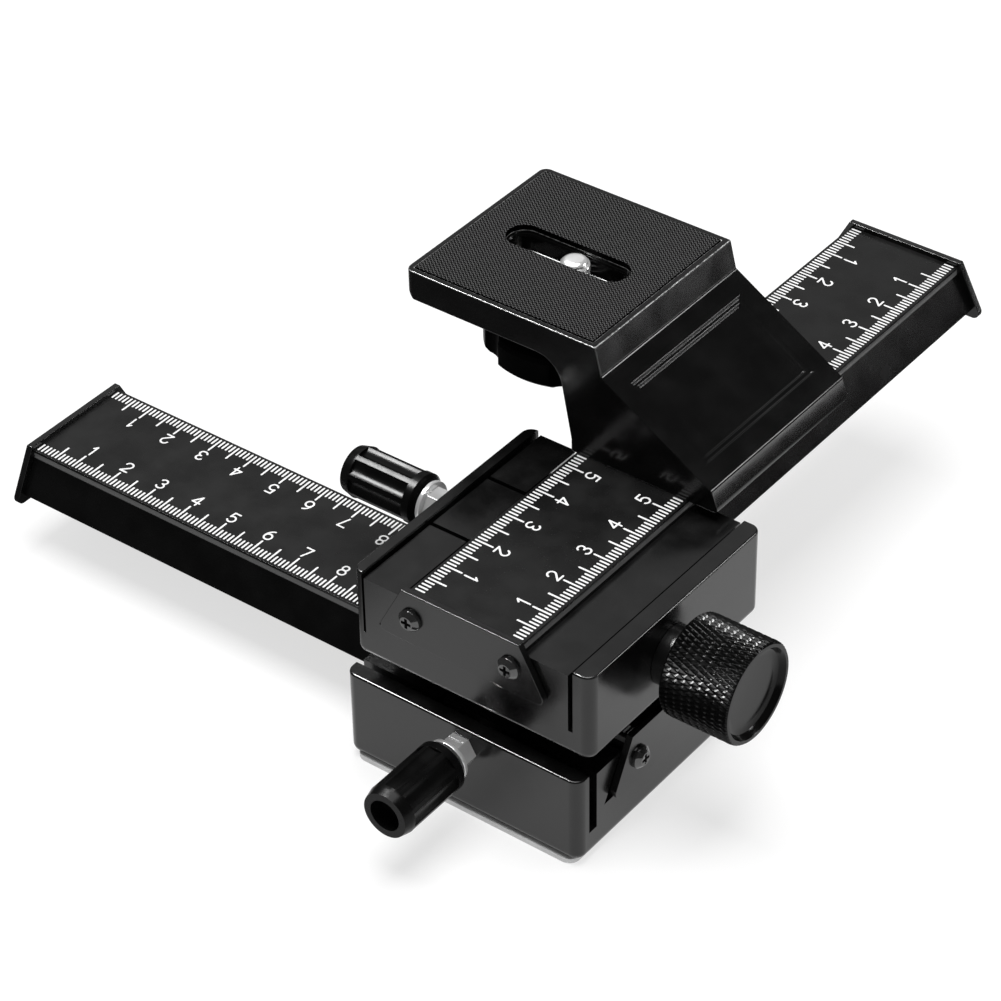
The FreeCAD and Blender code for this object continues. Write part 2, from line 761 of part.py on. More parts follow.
def make_bracket_screws():
    body = new_body("bracket_screws")
    UPPER.seat(body)
    for k, place in enumerate(bracket_screw_places()):
        bracket_screw_cone(body, "bracket_screw_%d" % k, place, "0", "0",
                           BRACKET_HEAD, "bracket_screw_length - rail_height")
    sockets(body, "bracket_socket", "XY_Plane", hexagon("bracket_socket"),
            BRACKET_HEAD, BRACKET_HEAD + " + bracket_socket_depth", bracket_screw_places())


def make_scale_plate(unit):
    body = unit.body("scale_plate")
    prism(body, unit.name + "_scale_strip", "XY_Plane",
          rectangle("-rail_half_top", "rail_half_top", RAIL_START, RAIL_END), "-scale_thickness", "0")
    if unit is LOWER:
        places, radius = riser_screw_places(unit), "riser_screw_radius + screw_clearance"
    else:
        places, radius = bracket_screw_places(), "bracket_screw_radius + screw_clearance"
    holes = circles(radius, *places)
    prism(body, unit.name + "_scale_holes", "XY_Plane", holes, "-scale_thickness", "0", cut=True)


def make_end_plate(unit, end):
    body = unit.body(end + "_end_plate")
    name = "%s_%s" % (unit.name, end)
    low = RAIL_START + " - end_thickness" if end == "near" else RAIL_END
    high = RAIL_START if end == "near" else RAIL_END + " + end_thickness"
    foot = "end_rise - end_height"
    prism(body, name + "_plate", "XZ_Plane", polygon(
        ("-end_half_foot", foot), ("end_half_foot", foot), ("end_half_top", "end_rise"),
        ("-end_half_top", "end_rise")), low, high)
    dress(body, name + "_corners", "Fillet", "end_corner",
          lambda edge, box: runs_along(edge, 1) and near(edge.BoundBox.ZMax, box.ZMin))
    prism(body, name + "_holes", "XZ_Plane", circles("end_screw_radius + screw_gap", *end_screw_places()),
          low, high, cut=True)


def make_end_screws(unit):
    """Pan heads with a cross recess, on the outer faces of the two end plates."""
    body = unit.body("end_screws")
    near_face = RAIL_START + " - end_thickness"
    far_face = RAIL_END + " + end_thickness"
    for end, face, out, inward in (("near", near_face, "-", ""), ("far", far_face, "", "-")):
        name = "%s_%s" % (unit.name, end)
        for k, (x, z) in enumerate(end_screw_places()):
            along_y(body, "%s_screw_%d" % (name, k), (x, face, z), (
                ("0", out + "end_head_height"), ("end_head_crown", out + "end_head_height"),
                ("end_head_radius", out + "end_head_side"), ("end_head_radius", "0"),
                ("end_screw_radius", "0"), ("end_screw_radius", inward + "end_screw_length"),
                ("0", inward + "end_screw_length")))
    crossed = cross("cross_length", "cross_width")
    near_crown = near_face + " - end_head_height"
    far_crown = far_face + " + end_head_height"
    sockets(body, unit.name + "_near_cross", "XZ_Plane", crossed,
            near_crown, near_crown + " + cross_depth", end_screw_places())
    sockets(body, unit.name + "_far_cross", "XZ_Plane", crossed,
            far_crown + " - cross_depth", far_crown, end_screw_places())


# ------------------------------------------------------------ rack and pinion

def make_rack(unit):
    body = unit.body("rack")
    half = "(rack_width / 2 - rack_fit)"
    start = RAIL_START + " + rack_inset"
    end = RAIL_END + " - rack_inset"
    bar = rectangle("-" + half, half, RACK_TIP, RACK_BACK)
    prism(body, unit.name + "_rack_bar", "XZ_Plane", bar, start, end)
    half_space = PITCH / 4 + size("backlash") / 4
    at_root = half_space - (RACK_ROOT - PITCH_LINE) * math.tan(PRESSURE)
    below = RACK_TIP - size("overcut")
    at_tip = half_space + (PITCH_LINE - below) * math.tan(PRESSURE)
    rack_low = -size("block_length") / 2 - size("stop_gap") + size("rack_inset")
    rack_length = size("travel") + size("block_length") + 2 * size("stop_gap") - 2 * size("rack_inset")
    steps_back = math.floor((size("drive_offset") - rack_low) / PITCH)
    first = size("drive_offset") - steps_back * PITCH
    count = math.floor((rack_low + rack_length - first) / PITCH) + 1
    outline = polygon(
        (first - at_tip, below), (first + at_tip, below),
        (first + at_root, RACK_ROOT), (first - at_root, RACK_ROOT))
    space = prism(body, unit.name + "_tooth_space", "YZ_Plane", outline,
                  "-rack_width / 2", "rack_width / 2", cut=True)
    row_along_y(body, space, PITCH, count)
    for k, place in enumerate(rack_screw_places()):
        along_z(body, "%s_rack_screw_hole_%d" % (unit.name, k), (*place, "0"), rack_screw_outline(
            "screw_clearance", "screw_gap", "%s - overcut" % RACK_TIP, "%s + overcut" % RACK_BACK), cut=True)


def rack_screw_outline(head_gap, shank_gap, foot, tip):
    """A cheese-head screw whose head lies in the rack, just under the roots of the teeth."""
    head = "(rack_screw_head + %s)" % head_gap
    shank = "(rack_screw_radius + %s)" % shank_gap
    seat = "(%s + rack_screw_radius)" % RACK_ROOT
    return (("0", foot), (head, foot), (head, seat), (shank, seat), (shank, tip), ("0", tip))


def make_rack_screws(unit):
    body = unit.body("rack_screws")
    for k, place in enumerate(rack_screw_places()):
        along_z(body, "%s_rack_screw_%d" % (unit.name, k), (*place, "0"), rack_screw_outline(
            "0", "0", RACK_TIP, "%s + rack_screw_length" % RACK_ROOT))
    slot = rectangle("-rack_screw_slot / 2", "rack_screw_slot / 2", "-rack_screw_head", "rack_screw_head")
    sockets(body, unit.name + "_rack_screw_slot", "XY_Plane", slot,
            RACK_TIP, "%s + rack_screw_slot_depth" % RACK_TIP, rack_screw_places())


def involute(angle):
    return math.tan(angle) - angle


def tooth_space():
    """The outline between two pinion teeth, about the sketch's y axis turned half a tooth."""
    teeth = size("pinion_teeth")
    base_radius = PITCH_RADIUS * math.cos(PRESSURE)
    half_tooth = math.pi / (2 * teeth) - size("backlash") / (4 * PITCH_RADIUS)
    radii = [
        base_radius, (base_radius + PITCH_RADIUS) / 2, PITCH_RADIUS,
        (PITCH_RADIUS + OUTER_RADIUS) / 2, OUTER_RADIUS,
    ]
    half_space = [
        math.pi / teeth - half_tooth - involute(PRESSURE) + involute(math.acos(base_radius / radius))
        for radius in radii
    ]
    side = [(ROOT_RADIUS, half_space[0])] + list(zip(radii, half_space))
    side.append((OUTER_RADIUS + size("trough_gap"), half_space[-1]))
    middle = math.pi / 2 + math.pi / teeth
    around = [(radius, middle + turn) for radius, turn in side]
    around += [(radius, middle - turn) for radius, turn in reversed(side)]
    return polygon(*((radius * math.cos(turn), radius * math.sin(turn)) for radius, turn in around))


def make_pinion_shaft(unit):
    body = unit.body("pinion_shaft")
    half = "pinion_width / 2"
    journal_end = "-(%s + trough_gap + journal_length - journal_end_gap)" % half
    shaft_end = "(%s + knob_gap + flange_length + focus_bore_depth)" % unit.focus_reach
    along_x(body, unit.name + "_shaft", ("0", "drive_offset", "-drive_drop"), (
        (journal_end, "0"), (journal_end, "journal_radius"), ("-" + half, "journal_radius"),
        ("-" + half, OUTER_RADIUS), (half, OUTER_RADIUS), (half, "waist_radius"),
        ("bush_foot", "waist_radius"), ("bush_foot", "shaft_radius"), (shaft_end, "shaft_radius"),
        (shaft_end, "0")))
    space = prism(body, unit.name + "_pinion_space", "YZ_Plane", tooth_space(), "-" + half, half,
                  ("drive_offset", "-drive_drop"), cut=True)
    polar(body, space, int(size("pinion_teeth")))


def make_focus_bush(unit):
    body = unit.body("focus_bush")
    face = unit.focus_reach
    along_x(body, unit.name + "_bush", ("0", "drive_offset", "-drive_drop"), (
        ("bush_foot", "shaft_radius + shaft_gap"), ("bush_foot", "bush_radius"), (face, "bush_radius"),
        (face, "flange_radius"), (face + " + flange_length", "flange_radius"),
        (face + " + flange_length", "shaft_radius + shaft_gap")))


def focus_knob_back(unit):
    return "(%s + flange_length + knob_gap)" % unit.focus_reach


def make_focus_knob(unit):
    body = unit.body("focus_knob")
    inner = focus_knob_back(unit)
    outer = "(%s + focus_knob_length)" % inner
    bore_end = "(%s + focus_bore_depth)" % inner
    bore = "shaft_radius + knob_fit"
    rim = "focus_knob_radius - focus_rim"
    eased = "focus_knob_radius - focus_edge"
    centre = ("0", "drive_offset", "-drive_drop")
    along_x(body, unit.name + "_knob", centre, (
        (inner, bore), (inner, eased), (inner + " + focus_edge", "focus_knob_radius"),
        (outer + " - focus_edge", "focus_knob_radius"), (outer, eased), (outer, rim),
        (outer + " - focus_dish", rim + " - focus_dish"), (outer + " - focus_dish", "0"),
        (bore_end, "0"), (bore_end, bore)))
    prism(body, unit.name + "_grub_hole", "XY_Plane", circles("grub_radius", ("0", "0")),
          "-drive_drop - focus_knob_radius - overcut", "-drive_drop",
          (inner + " + grub_setback", "drive_offset"), cut=True)


def make_knob_screw(unit):
    """A grub screw with a hexagon socket, which holds the knob on its shaft from below."""
    body = unit.body("knob_screw")
    place = (focus_knob_back(unit) + " + grub_setback", "drive_offset")
    mouth = "(-drive_drop - shaft_radius - grub_length)"
    prism(body, unit.name + "_grub", "XY_Plane", circles("grub_radius", ("0", "0")),
          mouth, "-drive_drop - shaft_radius", place)
    sockets(body, unit.name + "_grub_socket", "XY_Plane", hexagon("grub_socket"),
            mouth, mouth + " + grub_socket_depth", [place])


# ------------------------------------------------------------ lock

def lock_centre(unit):
    return ("-" + unit.lock_reach, unit.lock_offset, "-lock_drop")


def make_lock_bush(unit):
    """Points run outwards from the block's face, which is towards minus x."""
    body = unit.body("lock_bush")
    x, y, z = lock_centre(unit)
    wall = "(%s - slit_place - %s / 2 - collar_spigot_setback)" % (unit.lock_reach, unit.lock_slit)
    bore = "lock_screw_radius + shaft_gap"
    end = "-(collar_length + collar_flange)"
    along_x(body, unit.name + "_collar_flange", (x, y, z), (
        (wall, bore), (wall, "collar_spigot_radius"), ("-collar_length", "collar_spigot_radius"),
        ("-collar_length", "collar_flange_radius"), (end, "collar_flange_radius"), (end, bore)))
    outer = "%s - collar_length" % x
    name = unit.name + "_collar"
    prism(body, name + "_hexagon", "YZ_Plane", hexagon("collar_flats"), outer, x, (y, z))
    prism(body, name + "_bore", "YZ_Plane", circles(bore, ("0", "0")), outer, x, (y, z), cut=True)


def make_lock_screw(unit):
    body = unit.body("lock_screw")
    x, y, z = lock_centre(unit)
    tip = "(%s - slit_place + %s / 2 - lock_tip_gap)" % (unit.lock_reach, unit.lock_slit)
    end = "-(collar_flange + collar_length + lock_knob_gap + lock_bore_depth)"
    along_x(body, unit.name + "_lock_rod", (x, y, z), (
        (tip, "0"), (tip, "lock_screw_radius"), (end, "lock_screw_radius"), (end, "0")))


def make_lock_knob(unit):
    """A fluted grip with a plain tapered ring round its hollow front."""
    body = unit.body("lock_knob")
    x, y, z = lock_centre(unit)
    back = "-(collar_flange + collar_length + lock_knob_gap)"
    end = "(%s - lock_knob_length)" % back
    bore = "lock_screw_radius + knob_fit"
    cup_foot = end + " + lock_cup_depth"
    bore_end = back + " - lock_bore_depth"
    along_x(body, unit.name + "_lock_grip", (x, y, z), (
        (back, bore), (back, "lock_knob_radius - lock_edge"), (back + " - lock_edge", "lock_knob_radius"),
        (end + " + lock_ring_length", "lock_knob_radius"), (end, "lock_knob_radius - lock_ring_taper"),
        (end, "lock_cup_radius"), (cup_foot, "lock_cup_radius"), (cup_foot, "0"),
        (bore_end, "0"), (bore_end, bore)))
    reach = "lock_knob_radius + lock_flute_radius - lock_flute_depth"
    flute = prism(body, unit.name + "_lock_flute", "YZ_Plane", circles("lock_flute_radius", ("0", reach)),
                  "%s + %s + lock_ring_length" % (x, end), "%s + (%s) - lock_flute_start" % (x, back),
                  (y, z), cut=True)
    polar(body, flute, int(size("lock_knob_flutes")))


# ------------------------------------------------------------ riser

def make_riser():
    body = new_body("riser_plate")
    for axis, text in zip("xyz", (UPPER_X, LOWER_Y, LOWER_TOP)):
        body.setExpression(".Placement.Base." + axis, bound(text))
    prism(body, "riser_slab", "XY_Plane", rectangle(
        "-riser_length / 2", "riser_length / 2", "-riser_width / 2", "riser_width / 2"), "0", "riser_height")
    dress(body, "riser_corners", "Fillet", "riser_corner", upright)
    signs = [(a, b) for a in ("-", "+") for b in ("-", "+")]
    places = [("%sriser_screw_along" % a, "%sriser_screw_across" % b) for a, b in signs]
    prism(body, "riser_holes", "XY_Plane", circles("riser_screw_radius + screw_clearance", *places),
          "0", "riser_height", cut=True)


def make_riser_screws():
    body = new_body("riser_screws")
    UPPER.seat(body)
    for k, place in enumerate(riser_screw_places(UPPER)):
        along_z(body, "riser_screw_%d" % k, (*place, RISER_SEAT), (
            ("0", "-riser_screw_length"), ("riser_screw_radius", "-riser_screw_length"),
            ("riser_screw_radius", "0"), ("riser_head_radius", "0"),
            ("riser_head_radius", "riser_head_height"), ("0", "riser_head_height")))
    crown = RISER_SEAT + " + riser_head_height"
    sockets(body, "riser_socket", "XY_Plane", hexagon("riser_socket"),
            crown + " - riser_socket_depth", crown, riser_screw_places(UPPER))


# ------------------------------------------------------------ camera bracket

def make_bracket():
    body = new_body("camera_bracket")
    UPPER.seat(body)
    low = "(%s - bracket_width / 2)" % RAIL_MIDDLE
    high = "(%s + bracket_width / 2)" % RAIL_MIDDLE
    prism(body, "bracket_casting", "XZ_Plane", polygon(
        ("platform_left", "platform_rise"), ("platform_left", PLATFORM_FOOT + " + platform_chamfer"),
        ("platform_left + platform_chamfer", PLATFORM_FOOT), ("leg_top_x", PLATFORM_FOOT),
        ("foot_left", "foot_left_edge"), ("foot_left", "0"), ("foot_right", "0"),
        ("foot_right", "foot_right_edge"), ("incline_foot_x", "incline_foot_rise"),
        ("shoulder_x", "platform_rise - shoulder_drop"), ("platform_right", "platform_rise")), low, high)
    dress(body, "bracket_corners", "Fillet", "bracket_round",
          lambda edge, box: runs_along(edge, 2) and near(edge.BoundBox.XMin, box.XMin))
    leg_top = size("leg_top_x")
    dress(body, "bracket_leg_round", "Fillet", "leg_fillet",
          lambda edge, box: runs_along(edge, 1) and near(edge.BoundBox.XMin, leg_top))
    cut_platform(body, low, high)
    cut_panel(body)
    holes = circles("bracket_screw_radius + screw_gap", *bracket_screw_places())
    prism(body, "bracket_holes", "XY_Plane", holes,
          "0", "bracket_screw_length - rail_height + screw_gap", cut=True)


def cut_platform(body, low, high):
    """The pad's recess, the stepped slot and the space that the camera knob turns in."""
    recess_foot = "(platform_rise + camera_pad_proud - camera_pad_thickness)"
    prism(body, "pad_recess", "XY_Plane", rectangle(
        "platform_left + camera_pad_inset", "platform_right - camera_pad_inset",
        low + " + camera_pad_inset", high + " - camera_pad_inset"), recess_foot, "platform_rise", cut=True)
    middle = ("slot_place", RAIL_MIDDLE)
    prism(body, "slot_mouth", "XY_Plane", stadium(SLOT_SPAN, "slot_mouth_width / 2"),
          recess_foot + " - slot_mouth_depth", recess_foot, middle, cut=True)
    prism(body, "slot_track", "XY_Plane", stadium(SLOT_SPAN, "slot_width / 2"),
          LEDGE_TOP, recess_foot, middle, cut=True)
    prism(body, "slot_neck", "XY_Plane", stadium(SLOT_SPAN, "ledge_width / 2"),
          PLATFORM_FOOT, LEDGE_TOP, middle, cut=True)
    prism(body, "knob_space", "XY_Plane", circles("camera_knob_radius + knob_pocket_gap", ("0", "0")),
          DISC_FOOT + " - knob_pocket_gap", PLATFORM_FOOT, ("screw_place", RAIL_MIDDLE), cut=True)


def cut_panel(body):
    """A bare panel let into the sloping face in two steps."""
    run = size("incline_foot_x") - size("shoulder_x")
    fall = size("platform_rise") - size("shoulder_drop") - size("incline_foot_rise")
    slope = math.hypot(run, fall)
    middle = FreeCAD.Vector(
        size("shoulder_x") + run / 2, size("travel") / 2, size("incline_foot_rise") + fall / 2)
    tilt = FreeCAD.Rotation(FreeCAD.Vector(0, 1, 0), math.degrees(math.atan2(fall, run)))
    for k, margin in enumerate(("panel_margin", "(panel_margin + panel_step)"), start=1):
        before = volume_now(body)
        sketch = body.newObject("Sketcher::SketchObject", "panel_sketch_%d" % k)
        sketch.AttachmentSupport = (origin_item(body, "XY_Plane"), [""])
        sketch.MapMode = "FlatFace"
        sketch.AttachmentOffset = FreeCAD.Placement(middle, tilt)
        half_slope = "(%r - %s)" % (slope / 2, margin)
        half_width = "(bracket_width / 2 - %s)" % margin
        rectangle("-" + half_slope, half_slope, "-" + half_width, half_width)(sketch)
        pocket = body.newObject("PartDesign::Pocket", "panel_%d" % k)
        pocket.Profile = sketch
        pocket.setExpression("Length", bound("panel_depth * %d" % k))
        settle(body, pocket, before, True)


def make_camera_pad():
    body = new_body("camera_pad")
    UPPER.seat(body)
    foot = "(platform_rise + camera_pad_proud - camera_pad_thickness)"
    top = "(platform_rise + camera_pad_proud)"
    reach = "(bracket_width / 2 - camera_pad_inset)"
    prism(body, "camera_pad_sheet", "XY_Plane", rectangle(
        "platform_left + camera_pad_inset", "platform_right - camera_pad_inset",
        "%s - %s" % (RAIL_MIDDLE, reach), "%s + %s" % (RAIL_MIDDLE, reach)), foot, top)
    prism(body, "camera_pad_slot", "XY_Plane", stadium(SLOT_SPAN, "slot_mouth_width / 2"), foot, top,
          ("slot_place", RAIL_MIDDLE), cut=True)


def make_camera_screw():
    body = new_body("camera_screw")
    UPPER.seat(body)
    shoulder = "(%s + slot_washer_thickness + washer_gap)" % LEDGE_TOP
    tip = "(platform_rise - camera_screw_sink)"
    chamfer = "camera_screw_radius - camera_neck_radius"
    along_z(body, "camera_screw_rod", ("screw_place", RAIL_MIDDLE, "0"), (
        ("0", DISC_FOOT), ("camera_neck_radius", DISC_FOOT), ("camera_neck_radius", shoulder),
        ("camera_screw_radius", shoulder), ("camera_screw_radius", "%s - (%s)" % (tip, chamfer)),
        ("camera_neck_radius", tip), ("0", tip)))


def make_slot_washer():
    body = new_body("slot_washer")
    UPPER.seat(body)
    prism(body, "slot_washer_ring", "XY_Plane", circles("slot_washer_radius", ("0", "0")),
          LEDGE_TOP, LEDGE_TOP + " + slot_washer_thickness", ("screw_place", RAIL_MIDDLE))
    prism(body, "slot_washer_hole", "XY_Plane", circles("camera_neck_radius + shaft_gap", ("0", "0")),
          LEDGE_TOP, LEDGE_TOP + " + slot_washer_thickness", ("screw_place", RAIL_MIDDLE), cut=True)


def make_knob_washer():
    body = new_body("knob_washer")
    UPPER.seat(body)
    prism(body, "knob_washer_ring", "XY_Plane", circles("knob_washer_radius", ("0", "0")),
          KNOB_TOP, KNOB_TOP + " + knob_washer_thickness", ("screw_place", RAIL_MIDDLE))
    prism(body, "knob_washer_hole", "XY_Plane", circles("camera_neck_radius + shaft_gap", ("0", "0")),
          KNOB_TOP, KNOB_TOP + " + knob_washer_thickness", ("screw_place", RAIL_MIDDLE), cut=True)


def make_camera_knob():
    body = new_body("camera_knob")
    UPPER.seat(body)
    rim = "camera_knob_radius"
    bore = "camera_neck_radius + knob_fit"
    dish_foot = DISC_FOOT + " + camera_knob_dish_depth"
    along_z(body, "camera_knob_disc", ("screw_place", RAIL_MIDDLE, "0"), (
        (bore, dish_foot), ("camera_knob_dish", dish_foot),
        ("camera_knob_dish", DISC_FOOT), (rim + " - camera_knob_edge", DISC_FOOT),
        (rim, DISC_FOOT + " + camera_knob_edge"), (rim, DISC_TOP + " - camera_knob_edge"),
        (rim + " - camera_knob_edge", DISC_TOP), ("camera_knob_hub", DISC_TOP), ("camera_knob_hub", KNOB_TOP),
        (bore, KNOB_TOP)))
    reach = "(camera_knob_radius + notch_radius - notch_depth)"
    notch = prism(body, "camera_knob_notch", "XY_Plane", circles("notch_radius", (reach, "0")),
                  DISC_FOOT + " - overcut", DISC_TOP + " + overcut", ("screw_place", RAIL_MIDDLE), cut=True)
    polar(body, notch, int(size("camera_knob_notches")))


# ------------------------------------------------------------ the whole rail

def make_unit(unit):
    make_rail(unit)
    make_rack(unit)
    make_rack_screws(unit)
    make_scale_plate(unit)
    make_end_plate(unit, "near")
    make_end_plate(unit, "far")
    make_end_screws(unit)
    make_pinion_shaft(unit)
    make_focus_bush(unit)
    make_focus_knob(unit)
    make_knob_screw(unit)
    make_lock_bush(unit)
    make_lock_screw(unit)
    make_lock_knob(unit)


def check_and_write():
    doc.recompute()
    for item in doc.Objects:
        if "Invalid" in item.State or "Error" in item.State:
            raise RuntimeError("%s is not sound" % item.Name)
    for body in bodies:
        if body.Shape.isNull() or not body.Shape.isValid():
            raise RuntimeError("%s has no valid shape" % body.Label)
    os.makedirs("parts", exist_ok=True)
    for body in bodies:
        body.Shape.exportStep("parts/%s.step" % body.Label)
        print(body.Label, len(body.Shape.Solids), round(body.Shape.Volume, 1))


make_base_block()
make_base_pad()
make_tripod_bush()
make_unit(LOWER)
make_riser()
make_riser_screws()
make_upper_block()
make_unit(UPPER)
make_bracket()
make_bracket_screws()
make_camera_pad()
make_camera_screw()
make_slot_washer()
make_knob_washer()
make_camera_knob()
check_and_write()
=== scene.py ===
"""The looks of a two-way macro focusing rail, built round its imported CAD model."""

import math

import bmesh
import bpy
from mathutils import Matrix, Vector


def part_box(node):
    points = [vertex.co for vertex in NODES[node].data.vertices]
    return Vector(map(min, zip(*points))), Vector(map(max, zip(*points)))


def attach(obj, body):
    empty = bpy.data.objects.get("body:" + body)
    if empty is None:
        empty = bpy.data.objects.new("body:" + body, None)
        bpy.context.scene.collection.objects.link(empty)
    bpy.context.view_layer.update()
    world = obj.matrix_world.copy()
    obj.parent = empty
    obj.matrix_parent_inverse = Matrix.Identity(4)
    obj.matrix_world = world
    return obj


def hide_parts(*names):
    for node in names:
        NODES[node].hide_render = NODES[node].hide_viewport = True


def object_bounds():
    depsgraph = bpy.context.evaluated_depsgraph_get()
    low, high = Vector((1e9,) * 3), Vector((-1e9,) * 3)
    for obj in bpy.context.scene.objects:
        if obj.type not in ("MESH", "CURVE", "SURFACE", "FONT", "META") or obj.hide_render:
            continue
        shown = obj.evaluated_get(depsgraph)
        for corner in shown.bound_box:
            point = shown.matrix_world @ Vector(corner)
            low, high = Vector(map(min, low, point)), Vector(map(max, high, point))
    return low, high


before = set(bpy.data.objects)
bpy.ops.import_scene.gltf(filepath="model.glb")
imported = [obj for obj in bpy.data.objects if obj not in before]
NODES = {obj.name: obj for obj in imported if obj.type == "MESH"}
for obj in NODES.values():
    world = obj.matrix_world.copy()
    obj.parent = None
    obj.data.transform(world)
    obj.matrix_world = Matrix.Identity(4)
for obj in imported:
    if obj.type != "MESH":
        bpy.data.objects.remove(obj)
cad_low, cad_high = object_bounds()

MM = 0.001
UP = Vector((0, 0, 1))
SAME_PLACE = 0.001 * MM


# ------------------------------------------------------------ node trees

# What noise mostly stays between.
NOISE_LOW = 0.35
NOISE_HIGH = 0.65


def add(tree, kind, **inputs):
    """A shader node with the values of some of its inputs."""
    made = tree.nodes.new(kind)
    for name, value in inputs.items():
        made.inputs[name.replace("_", " ")].default_value = value
    return made


def join(tree, start, out, end, into):
    tree.links.new(start.outputs[out], end.inputs[into])


def split(tree, source, out):
    """A node that gives each axis of a vector."""
    made = tree.nodes.new("ShaderNodeSeparateXYZ")
    join(tree, source, out, made, "Vector")
    return made


def noise(tree, place, scale, detail=2.0):
    """Noise in the frame's own metres: the scale is cells per metre."""
    made = add(tree, "ShaderNodeTexNoise", Scale=scale, Detail=detail)
    join(tree, place, "Object", made, "Vector")
    return made


def remap(tree, source, out, low, high, from_low=NOISE_LOW, from_high=NOISE_HIGH):
    """A value carried from one range over to another, and held at its ends."""
    made = add(tree, "ShaderNodeMapRange", From_Min=from_low, From_Max=from_high, To_Min=low, To_Max=high)
    join(tree, source, out, made, "Value")
    return made


def calculate(tree, operation, first, out, second=0.0):
    """A node that works on one value, and on a second one where the operation takes it."""
    made = tree.nodes.new("ShaderNodeMath")
    made.operation = operation
    join(tree, first, out, made, 0)
    made.inputs[1].default_value = second
    return made


def product(tree, first, out, second):
    """A value times another node's result."""
    made = calculate(tree, "MULTIPLY", first, out)
    join(tree, second, "Result", made, 1)
    return made


def blend_colours(tree, factor, out, first, second):
    made = tree.nodes.new("ShaderNodeMix")
    made.data_type = "RGBA"
    made.inputs["A"].default_value = (*first, 1.0)
    made.inputs["B"].default_value = (*second, 1.0)
    join(tree, factor, out, made, "Factor")
    return made


def start_material(name):
    """A material, its tree, its shader and the object's own coordinates."""
    material = bpy.data.materials.new(name)
    material.use_nodes = True
    tree = material.node_tree
    return material, tree, tree.nodes["Principled BSDF"], tree.nodes.new("ShaderNodeTexCoord")


def set_colour(tree, shader, mixed):
    join(tree, mixed, "Result", shader, "Base Color")


def bump(tree, shader, height, out, depth):
    made = add(tree, "ShaderNodeBump", Strength=1.0, Distance=depth)
    join(tree, height, out, made, "Height")
    join(tree, made, "Normal", shader, "Normal")


# ------------------------------------------------------------ materials

CLOUD_SCALE = 140.0
CLOUD_DETAIL = 4.0
GRAIN_DETAIL = 3.0


def grey(value, warm=0.0):
    return (value * (1 + warm), value, value * (1 - warm))


def coated(name, dark, light, rough, grain, depth, specular, metallic=0.0):
    """Paint, metal, plastic or rubber: a cloudy tone and gloss, and a fine grain."""
    material, tree, shader, place = start_material(name)
    cloud = noise(tree, place, CLOUD_SCALE, CLOUD_DETAIL)
    tone = remap(tree, cloud, "Fac", 0.0, 1.0)
    set_colour(tree, shader, blend_colours(tree, tone, "Result", dark, light))
    join(tree, remap(tree, cloud, "Fac", *rough), "Result", shader, "Roughness")
    shader.inputs["Specular IOR Level"].default_value = specular
    shader.inputs["Metallic"].default_value = metallic
    bump(tree, shader, noise(tree, place, grain, GRAIN_DETAIL), "Fac", depth)
    return material


# The woven face: a thread's width, its turn in degrees, and how narrow the painted sheen on its crests is.
WEAVE_CELL = 0.64 * MM
WEAVE_TURN = 38
WEAVE_CREST = 7.0
WEAVE_CLOUD_SCALE = 90.0


def woven(name, dark, light, rough, depth, specular):
    """Rubber whose upper face has the print of a cloth: threads that pass over and under, set diagonally,
    with a painted sheen on their crests.
    """
    material, tree, shader, place = start_material(name)
    turn = (0, 0, math.radians(WEAVE_TURN))
    turned = add(tree, "ShaderNodeMapping", Rotation=turn, Scale=(1 / WEAVE_CELL,) * 3)
    join(tree, place, "Object", turned, "Vector")
    axes = split(tree, turned, "Vector")
    flat = tree.nodes.new("ShaderNodeCombineXYZ")
    over = add(tree, "ShaderNodeTexChecker", Scale=1.0)
    join(tree, flat, "Vector", over, "Vector")
    height = tree.nodes.new("ShaderNodeMix")
    join(tree, over, "Fac", height, "Factor")
    for axis, thread in (("X", "A"), ("Y", "B")):
        join(tree, axes, axis, flat, axis)
        around = calculate(tree, "MULTIPLY", axes, axis, math.pi)
        wave = calculate(tree, "SINE", around, "Value")
        join(tree, calculate(tree, "ABSOLUTE", wave, "Value"), "Value", height, thread)
    printed = product(tree, split(tree, place, "Normal"), "Z", height)
    # The thread crests are painted lighter than the hollows: a painted sheen.
    crest_sheen = calculate(tree, "POWER", printed, "Value", WEAVE_CREST)
    set_colour(tree, shader, blend_colours(tree, crest_sheen, "Value", dark, light))
    cloud = noise(tree, place, WEAVE_CLOUD_SCALE, CLOUD_DETAIL)
    join(tree, remap(tree, cloud, "Fac", *rough), "Result", shader, "Roughness")
    shader.inputs["Specular IOR Level"].default_value = specular
    bump(tree, shader, printed, "Value", depth)
    return material


